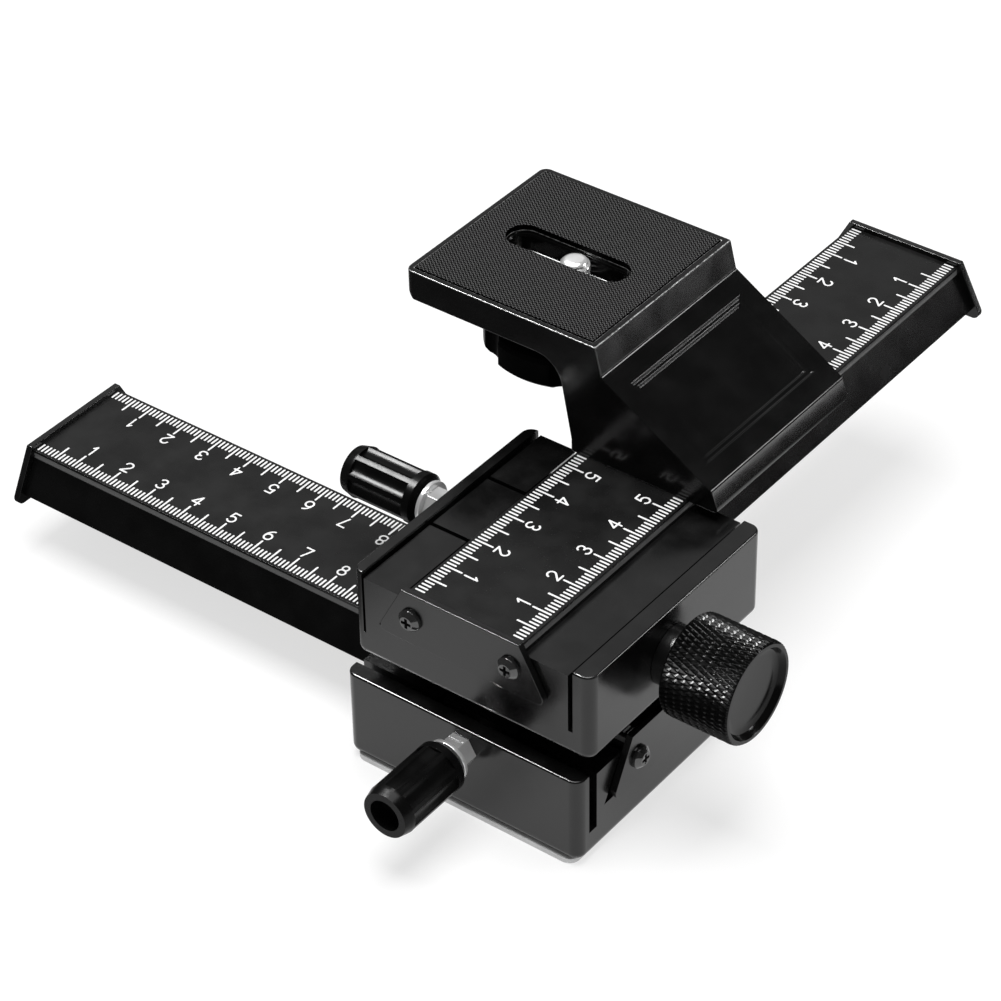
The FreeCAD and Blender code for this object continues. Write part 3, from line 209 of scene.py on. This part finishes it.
# One for each slot, and one for the bracket alone.
MATERIALS = {
    "cast_black": coated(
        "satin_black_paint", dark=grey(0.002), light=grey(0.004),
        rough=(0.18, 0.26), grain=2600.0, depth=0.005 * MM, specular=0.44),
    "bracket_black": coated(
        "dull_black_paint", dark=grey(0.002), light=grey(0.003),
        rough=(0.15, 0.21), grain=2600.0, depth=0.005 * MM, specular=0.3),
    "rail_black": coated(
        "black_anodised_rail", dark=grey(0.002), light=grey(0.003),
        rough=(0.2, 0.28), grain=3200.0, depth=0.004 * MM, specular=0.14),
    "scale_black": coated(
        "matt_black_scale", dark=grey(0.006), light=grey(0.009),
        rough=(0.24, 0.32), grain=3800.0, depth=0.006 * MM, specular=0.21),
    "plate_black": coated(
        "black_plate", dark=grey(0.002), light=grey(0.004),
        rough=(0.18, 0.26), grain=2600.0, depth=0.004 * MM, specular=0.42),
    "screw_black": coated(
        "black_oxide_steel", dark=grey(0.01), light=grey(0.02),
        rough=(0.1, 0.18), grain=3000.0, depth=0.004 * MM, specular=1.0),
    "rack_brass": coated(
        "machined_brass", dark=(0.5, 0.36, 0.14), light=(0.62, 0.46, 0.2),
        rough=(0.25, 0.4), grain=2600.0, depth=0.01 * MM, specular=0.5, metallic=1.0),
    "shaft_steel": coated(
        "ground_steel", dark=grey(0.42), light=grey(0.55),
        rough=(0.22, 0.32), grain=2600.0, depth=0.006 * MM, specular=0.5, metallic=1.0),
    "bright_steel": coated(
        "bright_steel", dark=grey(0.72), light=grey(0.92),
        rough=(0.14, 0.26), grain=1800.0, depth=0.008 * MM, specular=0.6, metallic=0.6),
    "bush_black": coated(
        "black_anodised_bush", dark=grey(0.002), light=grey(0.004),
        rough=(0.2, 0.3), grain=3200.0, depth=0.005 * MM, specular=0.35),
    "knob_black": coated(
        "black_anodised_knob", dark=grey(0.002), light=grey(0.004),
        rough=(0.14, 0.22), grain=3000.0, depth=0.004 * MM, specular=0.13),
    "lock_plastic": coated(
        "glossy_black_plastic", dark=grey(0.002), light=grey(0.003),
        rough=(0.22, 0.32), grain=900.0, depth=0.006 * MM, specular=0.1),
    "camera_knob_plastic": coated(
        "satin_black_plastic", dark=grey(0.002), light=grey(0.003),
        rough=(0.3, 0.4), grain=3000.0, depth=0.006 * MM, specular=0.02),
    "nylon": coated(
        "natural_nylon", dark=grey(0.7, 0.02), light=grey(0.8, 0.02),
        rough=(0.4, 0.5), grain=1500.0, depth=0.01 * MM, specular=0.5),
    "pad_rubber": woven(
        "woven_rubber", dark=grey(0.0), light=grey(0.12),
        rough=(0.4, 0.5), depth=0.2 * MM, specular=0.02),
    # The pad's pale grey is partly its own colour and partly painted light: it is made lighter to stand in
    # for floor light mirrored at the foot, where the pad sits in contact shadow.
    "base_rubber": coated(
        "matt_rubber", dark=grey(0.55), light=grey(0.65),
        rough=(0.7, 0.8), grain=2200.0, depth=0.03 * MM, specular=0.3),
}
WHITE_PRINT = coated(
    "white_print", dark=grey(0.8), light=grey(0.9),
    rough=(0.5, 0.6), grain=2600.0, depth=0.002 * MM, specular=0.3)


# ------------------------------------------------------------ painted highlights

# How far below a rail's top its rim gets a painted highlight, and below the bracket's top its edges.
RIM_HIGHLIGHT_DEPTH = 1.1 * MM
RIM_HIGHLIGHT_TONE = grey(0.1)
EDGE_HIGHLIGHT_DEPTH = 1.6 * MM
EDGE_HIGHLIGHT_TONE = grey(0.45)
# How the painted highlights fade in below their height, and the size and least strength of the patches of the
# bracket's painted edge highlight.
HIGHLIGHT_FADE = 0.15 * MM
HIGHLIGHT_PATCH_SCALE = 1100.0
HIGHLIGHT_PATCH_LEAST = 0.15
# How much a surface faces up, from a wall to an eased edge and from there to a level face.
WALL_TO_EDGE = (0.5, 0.65)
EDGE_TO_LEVEL = (0.85, 0.97)


def above(tree, place, height):
    """From 0 just below a height to 1 from there up."""
    return remap(tree, split(tree, place, "Object"), "Z", 0.0, 1.0, height - HIGHLIGHT_FADE, height)


def lay_highlight_tone(material, factor, out, tone):
    """A painted highlight: a lighter tone laid over a material's own colour."""
    tree = material.node_tree
    shader = tree.nodes["Principled BSDF"]
    own = shader.inputs["Base Color"].links[0].from_socket
    highlighted = blend_colours(tree, factor, out, tone, tone)
    tree.links.new(own, highlighted.inputs["A"])
    set_colour(tree, shader, highlighted)


def paint_rim_highlight(material, height):
    """A painted highlight above a height, along the top rim of a rail."""
    tree = material.node_tree
    place = tree.nodes.new("ShaderNodeTexCoord")
    lay_highlight_tone(material, above(tree, place, height), "Result", RIM_HIGHLIGHT_TONE)


def paint_edge_highlights(material, height):
    """A painted highlight in patches on the eased edges that face partly up, above a height."""
    tree = material.node_tree
    place = tree.nodes.new("ShaderNodeTexCoord")
    facing = split(tree, place, "Normal")
    below_level = remap(tree, facing, "Z", 1.0, 0.0, *EDGE_TO_LEVEL)
    off_wall = remap(tree, facing, "Z", 0.0, 1.0, *WALL_TO_EDGE)
    slanted = product(tree, below_level, "Result", off_wall)
    raised = product(tree, slanted, "Value", above(tree, place, height))
    patches = remap(tree, noise(tree, place, HIGHLIGHT_PATCH_SCALE), "Fac", HIGHLIGHT_PATCH_LEAST, 1.0)
    lay_highlight_tone(material, product(tree, raised, "Value", patches), "Value", EDGE_HIGHLIGHT_TONE)


# ------------------------------------------------------------ CAD nodes

# Widths of the eased edges in mm, by node.
PLAIN_EDGE = 0.15
EDGE = {
    "base_block": 0.25,
    "upper_block": 0.25,
    "camera_bracket": 0.35,
    "camera_pad": 0.12,
    "lower_rail": 0.45,
    "upper_rail": 0.45,
    "lower_scale_plate": 0.03,
    "upper_scale_plate": 0.03,
    "lower_rack": 0.03,
    "upper_rack": 0.03,
    "lower_pinion_shaft": 0.03,
    "upper_pinion_shaft": 0.03,
}
EDGE_SEGMENTS = 2
AREA_WEIGHT = 100
# In degrees: faces that turn less than the first are one, and edges that turn more than the second are sharp.
FLAT_ANGLE = 0.5
SHARP_ANGLE = 35.0


def ease_edges(piece, width):
    """Sharp edges get a narrow round, and the faces beside them stay flat in the light."""
    weld = piece.modifiers.new("weld", "WELD")
    weld.merge_threshold = SAME_PLACE
    flat = piece.modifiers.new("flat", "DECIMATE")
    flat.decimate_type = "DISSOLVE"
    flat.angle_limit = math.radians(FLAT_ANGLE)
    bevel = piece.modifiers.new("eased_edge", "BEVEL")
    bevel.width = width
    bevel.segments = EDGE_SEGMENTS
    bevel.limit_method = "ANGLE"
    bevel.angle_limit = math.radians(SHARP_ANGLE)
    bevel.use_clamp_overlap = piece is not NODES["camera_bracket"]
    even = piece.modifiers.new("even_shading", "WEIGHTED_NORMAL")
    even.mode = "FACE_AREA"
    even.weight = AREA_WEIGHT


def dress_nodes():
    """Every CAD node gets the material of its slot, and its sharp edges are eased. The rails' top rims and
    the bracket's upper edges get a painted highlight.
    """
    for name, piece in NODES.items():
        slot = piece.material_slots[0].material.name
        material = MATERIALS["bracket_black" if name == "camera_bracket" else slot]
        if slot == "rail_black":
            material = material.copy()
            paint_rim_highlight(material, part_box(name)[1].z - RIM_HIGHLIGHT_DEPTH)
        if name == "camera_bracket":
            paint_edge_highlights(material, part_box(name)[1].z - EDGE_HIGHLIGHT_DEPTH)
        piece.material_slots[0].material = material
        ease_edges(piece, EDGE.get(name, PLAIN_EDGE) * MM)


# ------------------------------------------------------------ meshes

def finish_mesh(build, name, body, material, sharp=SHARP_ANGLE):
    """A piece from a bmesh, shaded smooth except at edges sharper than an angle."""
    mesh = bpy.data.meshes.new(name)
    bmesh.ops.recalc_face_normals(build, faces=build.faces)
    build.to_mesh(mesh)
    build.free()
    mesh.shade_smooth()
    mesh.set_sharp_from_angle(angle=math.radians(sharp))
    mesh.materials.append(material)
    piece = bpy.data.objects.new(name, mesh)
    bpy.context.scene.collection.objects.link(piece)
    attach(piece, body)
    return piece


def axes_at(origin, x, y, z):
    """A frame with its own axes at a point."""
    return Matrix.Translation(origin) @ Matrix((x, y, z)).transposed().to_4x4()


# ------------------------------------------------------------ units

class Unit:
    """A rail's scale: across its plate, along it from the near end, and up from its face.

    Its marks are counted up to the middle one and down again.
    """

    def __init__(self, name, along, across, middle_mark, counted_from_far_end):
        low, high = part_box(name + "_scale_plate")
        self.name = name
        self.along, self.across = Vector(along), Vector(across)
        self.middle_mark = middle_mark
        self.counted_from_far_end = counted_from_far_end
        centre = (low + high) / 2
        self.length = abs((high - low).dot(self.along))
        self.half_width = abs((high - low).dot(self.across)) / 2
        self.start = centre - self.along * self.length / 2
        self.start.z = high.z

    def matrix(self):
        return axes_at(self.start, self.across, self.along, UP)


LOWER = Unit("lower", along=(-1, 0, 0), across=(0, 1, 0), middle_mark=80, counted_from_far_end=True)
UPPER = Unit("upper", along=(0, 1, 0), across=(1, 0, 0), middle_mark=78, counted_from_far_end=False)


# ------------------------------------------------------------ scales

MARK_STEP = 1.0 * MM
MARK_WIDTH = 0.44 * MM
MARK_RISE = 0.02 * MM
MARK_INSET = 0.6 * MM
SHORT_MARK = 2.4 * MM
LONG_MARK = 4.6 * MM
MARKS_TO_LONG = 5
MARKS_TO_NUMBER = 10
DIGIT_FOOT = 7.8 * MM
DIGIT_HEIGHT = 3.0 * MM
DIGIT_STROKE = 0.42 * MM
# A digit's later strokes lie higher by a step, so that no two share a plane.
STROKE_STEP = 0.004 * MM
CAP_STEPS = 6


def arc(x, y, width, height, start, end, steps=10):
    """Points of an elliptical arc, from one angle to another in degrees."""
    turns = [math.radians(start + (end - start) * k / steps) for k in range(steps + 1)]
    return [(x + width * math.cos(turn), y + height * math.sin(turn)) for turn in turns]


# Strokes of the printed digits, in units of their height.
DIGITS = {
    "1": [[(0.06, 1.0), (0.06, 0.0)], [(0.06, 1.0), (-0.16, 0.76)]],
    "2": [arc(0, 0.71, 0.3, 0.29, 170, -40) + [(-0.3, 0.0)], [(-0.3, 0.0), (0.31, 0.0)]],
    "3": [arc(-0.02, 0.76, 0.26, 0.24, 160, -90), arc(-0.02, 0.26, 0.3, 0.26, 90, -160)],
    "4": [[(0.14, 0.0), (0.14, 1.0)], [(0.14, 1.0), (-0.33, 0.3)], [(-0.33, 0.3), (0.33, 0.3)]],
    "5": [[(-0.22, 1.0), (0.26, 1.0)], [(-0.22, 1.0), (-0.27, 0.55)],
          arc(-0.03, 0.32, 0.31, 0.32, 140, -150)],
    "6": [arc(0, 0.31, 0.3, 0.31, 0, 360, 20), arc(0.24, 0.31, 0.54, 0.69, 100, 180)],
    "7": [[(-0.3, 1.0), (0.3, 1.0)], [(0.3, 1.0), (-0.08, 0.0)]],
    "8": [arc(0, 0.76, 0.24, 0.24, 0, 360, 18), arc(0, 0.27, 0.3, 0.27, 0, 360, 20)],
}


def ribbon(build, points, width, matrix, rise):
    """A thin raised line with round ends, or a closed ring where the last point meets the first."""
    path = [Vector((x, y, 0)) for x, y in points]
    closed = (path[0] - path[-1]).length < SAME_PLACE
    if closed:
        path.pop()
    count = len(path)
    left, right = [], []
    for k, spot in enumerate(path):
        before = path[k - 1] if closed or k > 0 else spot
        after = path[(k + 1) % count] if closed or k < count - 1 else spot
        run = (after - before).normalized()
        side = Vector((-run.y, run.x, 0)) * width / 2
        left.append(spot + side)
        right.append(spot - side)
    lift = UP * rise
    left_top, right_top, left_foot, right_foot = (
        [build.verts.new(matrix @ (spot + up)) for spot in line]
        for line, up in ((left, lift), (right, lift), (left, Vector()), (right, Vector())))
    for k in range(count if closed else count - 1):
        j = (k + 1) % count
        build.faces.new((right_top[k], right_top[j], left_top[j], left_top[k]))
        build.faces.new((right_foot[k], right_foot[j], right_top[j], right_top[k]))
        build.faces.new((left_top[k], left_top[j], left_foot[j], left_foot[k]))
    if not closed:
        lefts = list(zip(left_top, left_foot))
        rights = list(zip(right_top, right_foot))
        cap(build, path[0], left[0], lefts[0], rights[0], matrix, lift)
        cap(build, path[-1], right[-1], rights[-1], lefts[-1], matrix, lift)


def cap(build, centre, start, first, last, matrix, lift):
    """The half round end of a line, from one of its sides to the other."""
    reach = start - centre
    turns = [Matrix.Rotation(math.pi * k / CAP_STEPS, 3, "Z") @ reach for k in range(1, CAP_STEPS)]
    top = [first[0]] + [build.verts.new(matrix @ (centre + turn + lift)) for turn in turns] + [last[0]]
    foot = [first[1]] + [build.verts.new(matrix @ (centre + turn)) for turn in turns] + [last[1]]
    build.faces.new(top)
    for k in range(CAP_STEPS):
        build.faces.new((foot[k], foot[k + 1], top[k + 1], top[k]))


def write_digit(build, digit, side, y, matrix):
    """A digit whose foot is turned to its own side of the rail."""
    for k, stroke in enumerate(DIGITS[digit]):
        points = [(side * (DIGIT_FOOT - v * DIGIT_HEIGHT), y + side * u * DIGIT_HEIGHT) for u, v in stroke]
        ribbon(build, points, DIGIT_STROKE, matrix, MARK_RISE + k * STROKE_STEP)


def make_scale(unit):
    """Millimetre marks on both sides, long ones each 5 mm, and a number at each centimetre."""
    build = bmesh.new()
    count = int((unit.length - MARK_STEP) / MARK_STEP)
    first = (unit.length - count * MARK_STEP) / 2
    matrix = unit.matrix()
    edge = unit.half_width - MARK_INSET
    for k in range(count + 1):
        place = k if k <= unit.middle_mark else 2 * unit.middle_mark - k
        y = first + k * MARK_STEP
        if unit.counted_from_far_end:
            y = unit.length - y
        reach = LONG_MARK if place % MARKS_TO_LONG == 0 and place > 0 else SHORT_MARK
        for side in (-1, 1):
            outer = side * (edge - MARK_WIDTH / 2)
            inner = side * (edge + MARK_WIDTH / 2 - reach)
            ribbon(build, [(outer, y), (inner, y)], MARK_WIDTH, matrix, MARK_RISE)
            if place % MARKS_TO_NUMBER == 0 and place > 0:
                write_digit(build, str(place // MARKS_TO_NUMBER), side, y, matrix)
    finish_mesh(build, unit.name + "_scale_marks", unit.name + "_carriage", WHITE_PRINT)


# ------------------------------------------------------------ turned pieces

def ring(build, matrix, count, height, radius_at):
    """A ring of corners round z, whose radius may change round the ring."""
    corners = []
    for k in range(count):
        turn = 2 * math.pi * k / count
        radius = radius_at(turn)
        spot = Vector((radius * math.cos(turn), radius * math.sin(turn), height))
        corners.append(build.verts.new(matrix @ spot))
    return corners


def plain_rings(build, matrix, count, outline):
    """A round ring for each radius and height of an outline."""
    return [ring(build, matrix, count, height, lambda turn: radius) for radius, height in outline]


def skin_between(build, rings):
    for low, high in zip(rings, rings[1:]):
        count = len(low)
        for k in range(count):
            j = (k + 1) % count
            build.faces.new((low[k], low[j], high[j], high[k]))


def saw(phase):
    """From 0 at a whole number to 1 halfway between two."""
    return 1 - abs(2 * (phase % 1.0) - 1)


# Focus knob: a diamond knurl between a plain back and a dished front.
KNURL_COUNT = 60
KNURL_PERIOD = 3.6 * MM
KNURL_DEPTH = 0.34 * MM
KNURL_CREST = 0.75
KNURL_STEPS = 8
KNURL_SHARP = 24.0
KNOB_EDGE = 0.5 * MM
KNOB_RIM = 1.3 * MM
KNOB_BORE = 2.52 * MM
KNOB_BORE_DEPTH = 12.0 * MM
# The front's rings in mm: how far inside the rim, and how deep below the front.
KNOB_FRONT = ((-0.1, 0.0), (0.0, 0.1), (0.3, 0.8), (0.7, 1.3), (1.4, 1.552), (2.4, 1.6))


def knurl_radius(turn, height, radius, limit):
    """The radius on a diamond knurl, kept below the knob's eased ends."""
    around = KNURL_COUNT * turn / (2 * math.pi)
    ahead = height / KNURL_PERIOD
    crest_sheen = min(saw(around + ahead), saw(around - ahead), KNURL_CREST) / KNURL_CREST
    return min(radius - KNURL_DEPTH * (1 - crest_sheen), limit)


def knurl_faces(build, rows):
    """Each cell is split along the groove or ridge that runs through it."""
    half = KNURL_STEPS // 2
    for row, (low, high) in enumerate(zip(rows, rows[1:])):
        count = len(low)
        for k in range(count):
            j = (k + 1) % count
            if (k - row) % half in (0, half // 2):
                build.faces.new((low[k], low[j], high[j]))
                build.faces.new((low[k], high[j], high[k]))
            else:
                build.faces.new((low[k], low[j], high[k]))
                build.faces.new((low[j], high[j], high[k]))


def make_focus_knob(unit):
    node = unit.name + "_focus_knob"
    low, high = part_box(node)
    length = abs((high - low).dot(unit.across))
    radius = (high.z - low.z) / 2
    back = (low + high) / 2 - unit.across * length / 2
    matrix = axes_at(back, unit.along, unit.across.cross(unit.along), unit.across)
    build = bmesh.new()
    count = KNURL_COUNT * KNURL_STEPS
    rows = round(length / KNURL_PERIOD * KNURL_STEPS)
    knurl = []
    for row in range(rows + 1):
        height = length * row / rows
        limit = radius - KNOB_EDGE + min(height, length - height)
        knurl.append(ring(
            build, matrix, count, height, lambda turn: knurl_radius(turn, height, radius, limit)))
    knurl_faces(build, knurl)
    rim = radius - KNOB_RIM
    outline = [(rim - inside * MM, length - deep * MM) for inside, deep in KNOB_FRONT]
    front = plain_rings(build, matrix, count, outline)
    skin_between(build, [knurl[-1]] + front)
    build.faces.new(front[-1])
    bore = plain_rings(build, matrix, count, [(KNOB_BORE, KNOB_BORE_DEPTH), (KNOB_BORE, 0)])
    skin_between(build, bore + [knurl[0]])
    build.faces.new(reversed(bore[0]))
    knob = finish_mesh(
        build, unit.name + "_knurled_knob", unit.name + "_drive", MATERIALS["knob_black"], KNURL_SHARP)
    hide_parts(node)


# Camera screw: a 1/4 inch thread, 20 to the inch, between a plain neck and a domed crown.
THREAD_PITCH = 1.27 * MM
THREAD_DEPTH = 0.7 * MM
THREAD_STEPS = 14
THREAD_COLUMNS = 56
THREAD_LENGTH = 4.8 * MM
THREAD_SHARP = 30.0
# A groove's flanks: how fast they fall, and how late they start.
FLANK_SLOPE = 1.2
FLANK_START = 0.1
# How fast the thread grows out of the neck.
RUN_IN = 1.5
NECK_RADIUS = 2.5 * MM
CROWN_HEIGHT = 0.5 * MM
CROWN_TURNS = (35, 50, 65, 80)


def thread_radius(turn, height, radius, limit):
    """The radius on a screw thread that grows out of its neck and tapers into its crown."""
    groove = 1 - saw(height / THREAD_PITCH - turn / (2 * math.pi))
    cut = min(max(FLANK_SLOPE * groove - FLANK_START, 0.0), 1.0)
    return min(radius - THREAD_DEPTH * cut, max(limit, NECK_RADIUS - THREAD_DEPTH / 2))


def make_camera_screw():
    low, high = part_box("camera_screw")
    foot = (low + high) / 2
    foot.z = low.z
    radius = (high.x - low.x) / 2
    length = high.z - low.z
    shoulder = length - THREAD_LENGTH
    crown = length - CROWN_HEIGHT
    matrix = Matrix.Translation(foot)
    build = bmesh.new()
    rings = plain_rings(build, matrix, THREAD_COLUMNS, [(NECK_RADIUS, 0), (NECK_RADIUS, shoulder)])
    steps = round((crown - shoulder) / THREAD_PITCH * THREAD_STEPS)
    for row in range(steps + 1):
        height = shoulder + (crown - shoulder) * row / steps
        limit = NECK_RADIUS + min(crown - height, RUN_IN * (height - shoulder))
        rings.append(ring(
            build, matrix, THREAD_COLUMNS, height,
            lambda turn: thread_radius(turn, height, radius, limit)))
    turns = [math.radians(degrees) for degrees in CROWN_TURNS]
    dome = [(NECK_RADIUS * math.cos(turn), crown + CROWN_HEIGHT * math.sin(turn)) for turn in turns]
    rings += plain_rings(build, matrix, THREAD_COLUMNS, dome)
    skin_between(build, rings)
    build.faces.new(reversed(rings[0]))
    build.faces.new(rings[-1])
    screw = finish_mesh(
        build, "camera_screw_thread", "camera_screw", MATERIALS["bright_steel"], THREAD_SHARP)
    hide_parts("camera_screw")


# ------------------------------------------------------------ floor

FLOOR_HALF = 6.0
FLOOR_TILES = 8
FLOOR_ALBEDO = 0.36
FLOOR_SPREAD = 0.01
FLOOR_CLOUD_SCALE = 3.0
FLOOR_ROUGHNESS = 0.8
FLOOR_GLOW = 0.66
# How bright the floor is where the object mirrors it. In front it is dim on the left. Behind it is
# dim but for a bright strip on the right. Each fade is a stretch of x or y in metres.
LEFT_DIM = 0.08
LEFT_FADE = (-0.072, -0.05)
FRONT_FADE = (0.03, 0.09)
BACK_DIM = 0.1
BACK_GAIN = 7.0
BACK_FADE = (0.1, 0.13)
RIGHT_FADE = (0.24, 0.3)
FAR_FADE = (0.42, 0.5)


def where(tree, factor, value):
    """A value where the factor is 1, and 1 where the factor is 0."""
    made = add(tree, "ShaderNodeMix", A=1.0)
    join(tree, factor, "Result", made, "Factor")
    join(tree, value, 0, made, "B")
    return made


def floor_material():
    """Pale paper, brighter and dimmer by place where the object mirrors it."""
    material, tree, shader, place = start_material("pale_floor")
    axes = split(tree, place, "Object")
    left = remap(tree, axes, "X", LEFT_DIM, 1.0, *LEFT_FADE)
    rise = remap(tree, axes, "X", BACK_DIM, BACK_GAIN, *RIGHT_FADE)
    fall = remap(tree, axes, "X", 1.0, BACK_DIM / BACK_GAIN, *FAR_FADE)
    right = product(tree, rise, "Result", fall)
    front = where(tree, remap(tree, axes, "Y", 1.0, 0.0, *FRONT_FADE), left)
    back = where(tree, remap(tree, axes, "Y", 0.0, 1.0, *BACK_FADE), right)
    mirrored = product(tree, front, "Result", back)
    path = tree.nodes.new("ShaderNodeLightPath")
    level = add(tree, "ShaderNodeMix", A=1.0)
    join(tree, path, "Is Glossy Ray", level, "Factor")
    join(tree, mirrored, "Value", level, "B")
    cloud = noise(tree, place, FLOOR_CLOUD_SCALE)
    albedo = remap(tree, cloud, "Fac", FLOOR_ALBEDO - FLOOR_SPREAD, FLOOR_ALBEDO + FLOOR_SPREAD)
    join(tree, product(tree, level, "Result", albedo), "Value", shader, "Base Color")
    glow = calculate(tree, "MULTIPLY", level, "Result", FLOOR_GLOW)
    join(tree, glow, "Value", shader, "Emission Strength")
    shader.inputs["Emission Color"].default_value = (1, 1, 1, 1)
    shader.inputs["Roughness"].default_value = FLOOR_ROUGHNESS
    shader.inputs["Specular IOR Level"].default_value = 0.0
    return material


def make_floor():
    build = bmesh.new()
    bmesh.ops.create_grid(build, x_segments=FLOOR_TILES, y_segments=FLOOR_TILES, size=FLOOR_HALF)
    mesh = bpy.data.meshes.new("floor")
    build.to_mesh(mesh)
    build.free()
    mesh.materials.append(floor_material())
    floor = bpy.data.objects.new("floor", mesh)
    bpy.context.scene.collection.objects.link(floor)
    floor.location.z = cad_low.z


# ------------------------------------------------------------ light and camera

# Each lamp: its place from the object's centre, its width and height, its power in watts, and
# whether it lights matt surfaces too or is only mirrored.
LAMPS = {
    "overhead_softbox": ((0, 0, 3.0), (1.9, 1.9), 90.0, True),
    "far_left_panel": ((-0.78, 1.0, 0.98), (1.2, 1.2), 2.0, True),
    "key_softbox": ((-0.78, -0.16, 1.38), (0.55, 0.36), 62.0, False),
    "rim_softbox": ((0.98, 1.0, 0.78), (0.3, 0.3), 6.0, False),
}
WORLD_SEEN = 0.4
WORLD_MIRRORED = 0.08

# The camera in degrees: how far round from the front, how high, and the turn about its line of sight.
CAMERA_AZIMUTH = 37.87
CAMERA_ELEVATION = 37.72
CAMERA_ROLL = -1.1
CAMERA_TARGET = Vector((-0.04878, 0.04836, 0.00786))
CAMERA_DISTANCE = 0.77256
CAMERA_NEAREST = 0.01
CAMERA_FARTHEST = 50.0
LENS = 126.8
SENSOR = 36.0


def make_lamps():
    centre = (cad_low + cad_high) / 2
    for name, (offset, size, power, lights_matt) in LAMPS.items():
        data = bpy.data.lights.new(name, "AREA")
        data.shape = "RECTANGLE"
        data.size, data.size_y = size
        data.energy = power
        lamp = bpy.data.objects.new(name, data)
        place = centre + Vector(offset)
        lamp.location = place
        lamp.rotation_mode = "QUATERNION"
        lamp.rotation_quaternion = (centre - place).to_track_quat("-Z", "Y")
        lamp.visible_diffuse = lights_matt
        bpy.context.scene.collection.objects.link(lamp)


def make_world():
    """Dimmer where the object mirrors it than where the camera sees it past the floor."""
    world = bpy.data.worlds.new("studio")
    bpy.context.scene.world = world
    world.use_nodes = True
    tree = world.node_tree
    shade = tree.nodes["Background"]
    shade.inputs["Color"].default_value = (1, 1, 1, 1)
    path = tree.nodes.new("ShaderNodeLightPath")
    level = remap(tree, path, "Is Glossy Ray", WORLD_SEEN, WORLD_MIRRORED, 0.0, 1.0)
    join(tree, level, "Result", shade, "Strength")


def make_camera():
    data = bpy.data.cameras.new("camera")
    data.lens = LENS
    data.sensor_width = SENSOR
    data.clip_start, data.clip_end = CAMERA_NEAREST, CAMERA_FARTHEST
    camera = bpy.data.objects.new("camera", data)
    bpy.context.scene.collection.objects.link(camera)
    bpy.context.scene.camera = camera
    azimuth, elevation = math.radians(CAMERA_AZIMUTH), math.radians(CAMERA_ELEVATION)
    out = math.cos(elevation)
    back = Vector((math.sin(azimuth) * out, -math.cos(azimuth) * out, math.sin(elevation)))
    right = Vector((math.cos(azimuth), math.sin(azimuth), 0))
    view = axes_at(CAMERA_TARGET + back * CAMERA_DISTANCE, right, back.cross(right), back)
    camera.matrix_world = view @ Matrix.Rotation(math.radians(CAMERA_ROLL), 4, "Z")


# ------------------------------------------------------------ the whole object

dress_nodes()
for unit in (LOWER, UPPER):
    make_scale(unit)
    make_focus_knob(unit)
make_camera_screw()
make_floor()
make_lamps()
make_world()
make_camera()
bpy.context.scene.view_settings.view_transform = "Standard"
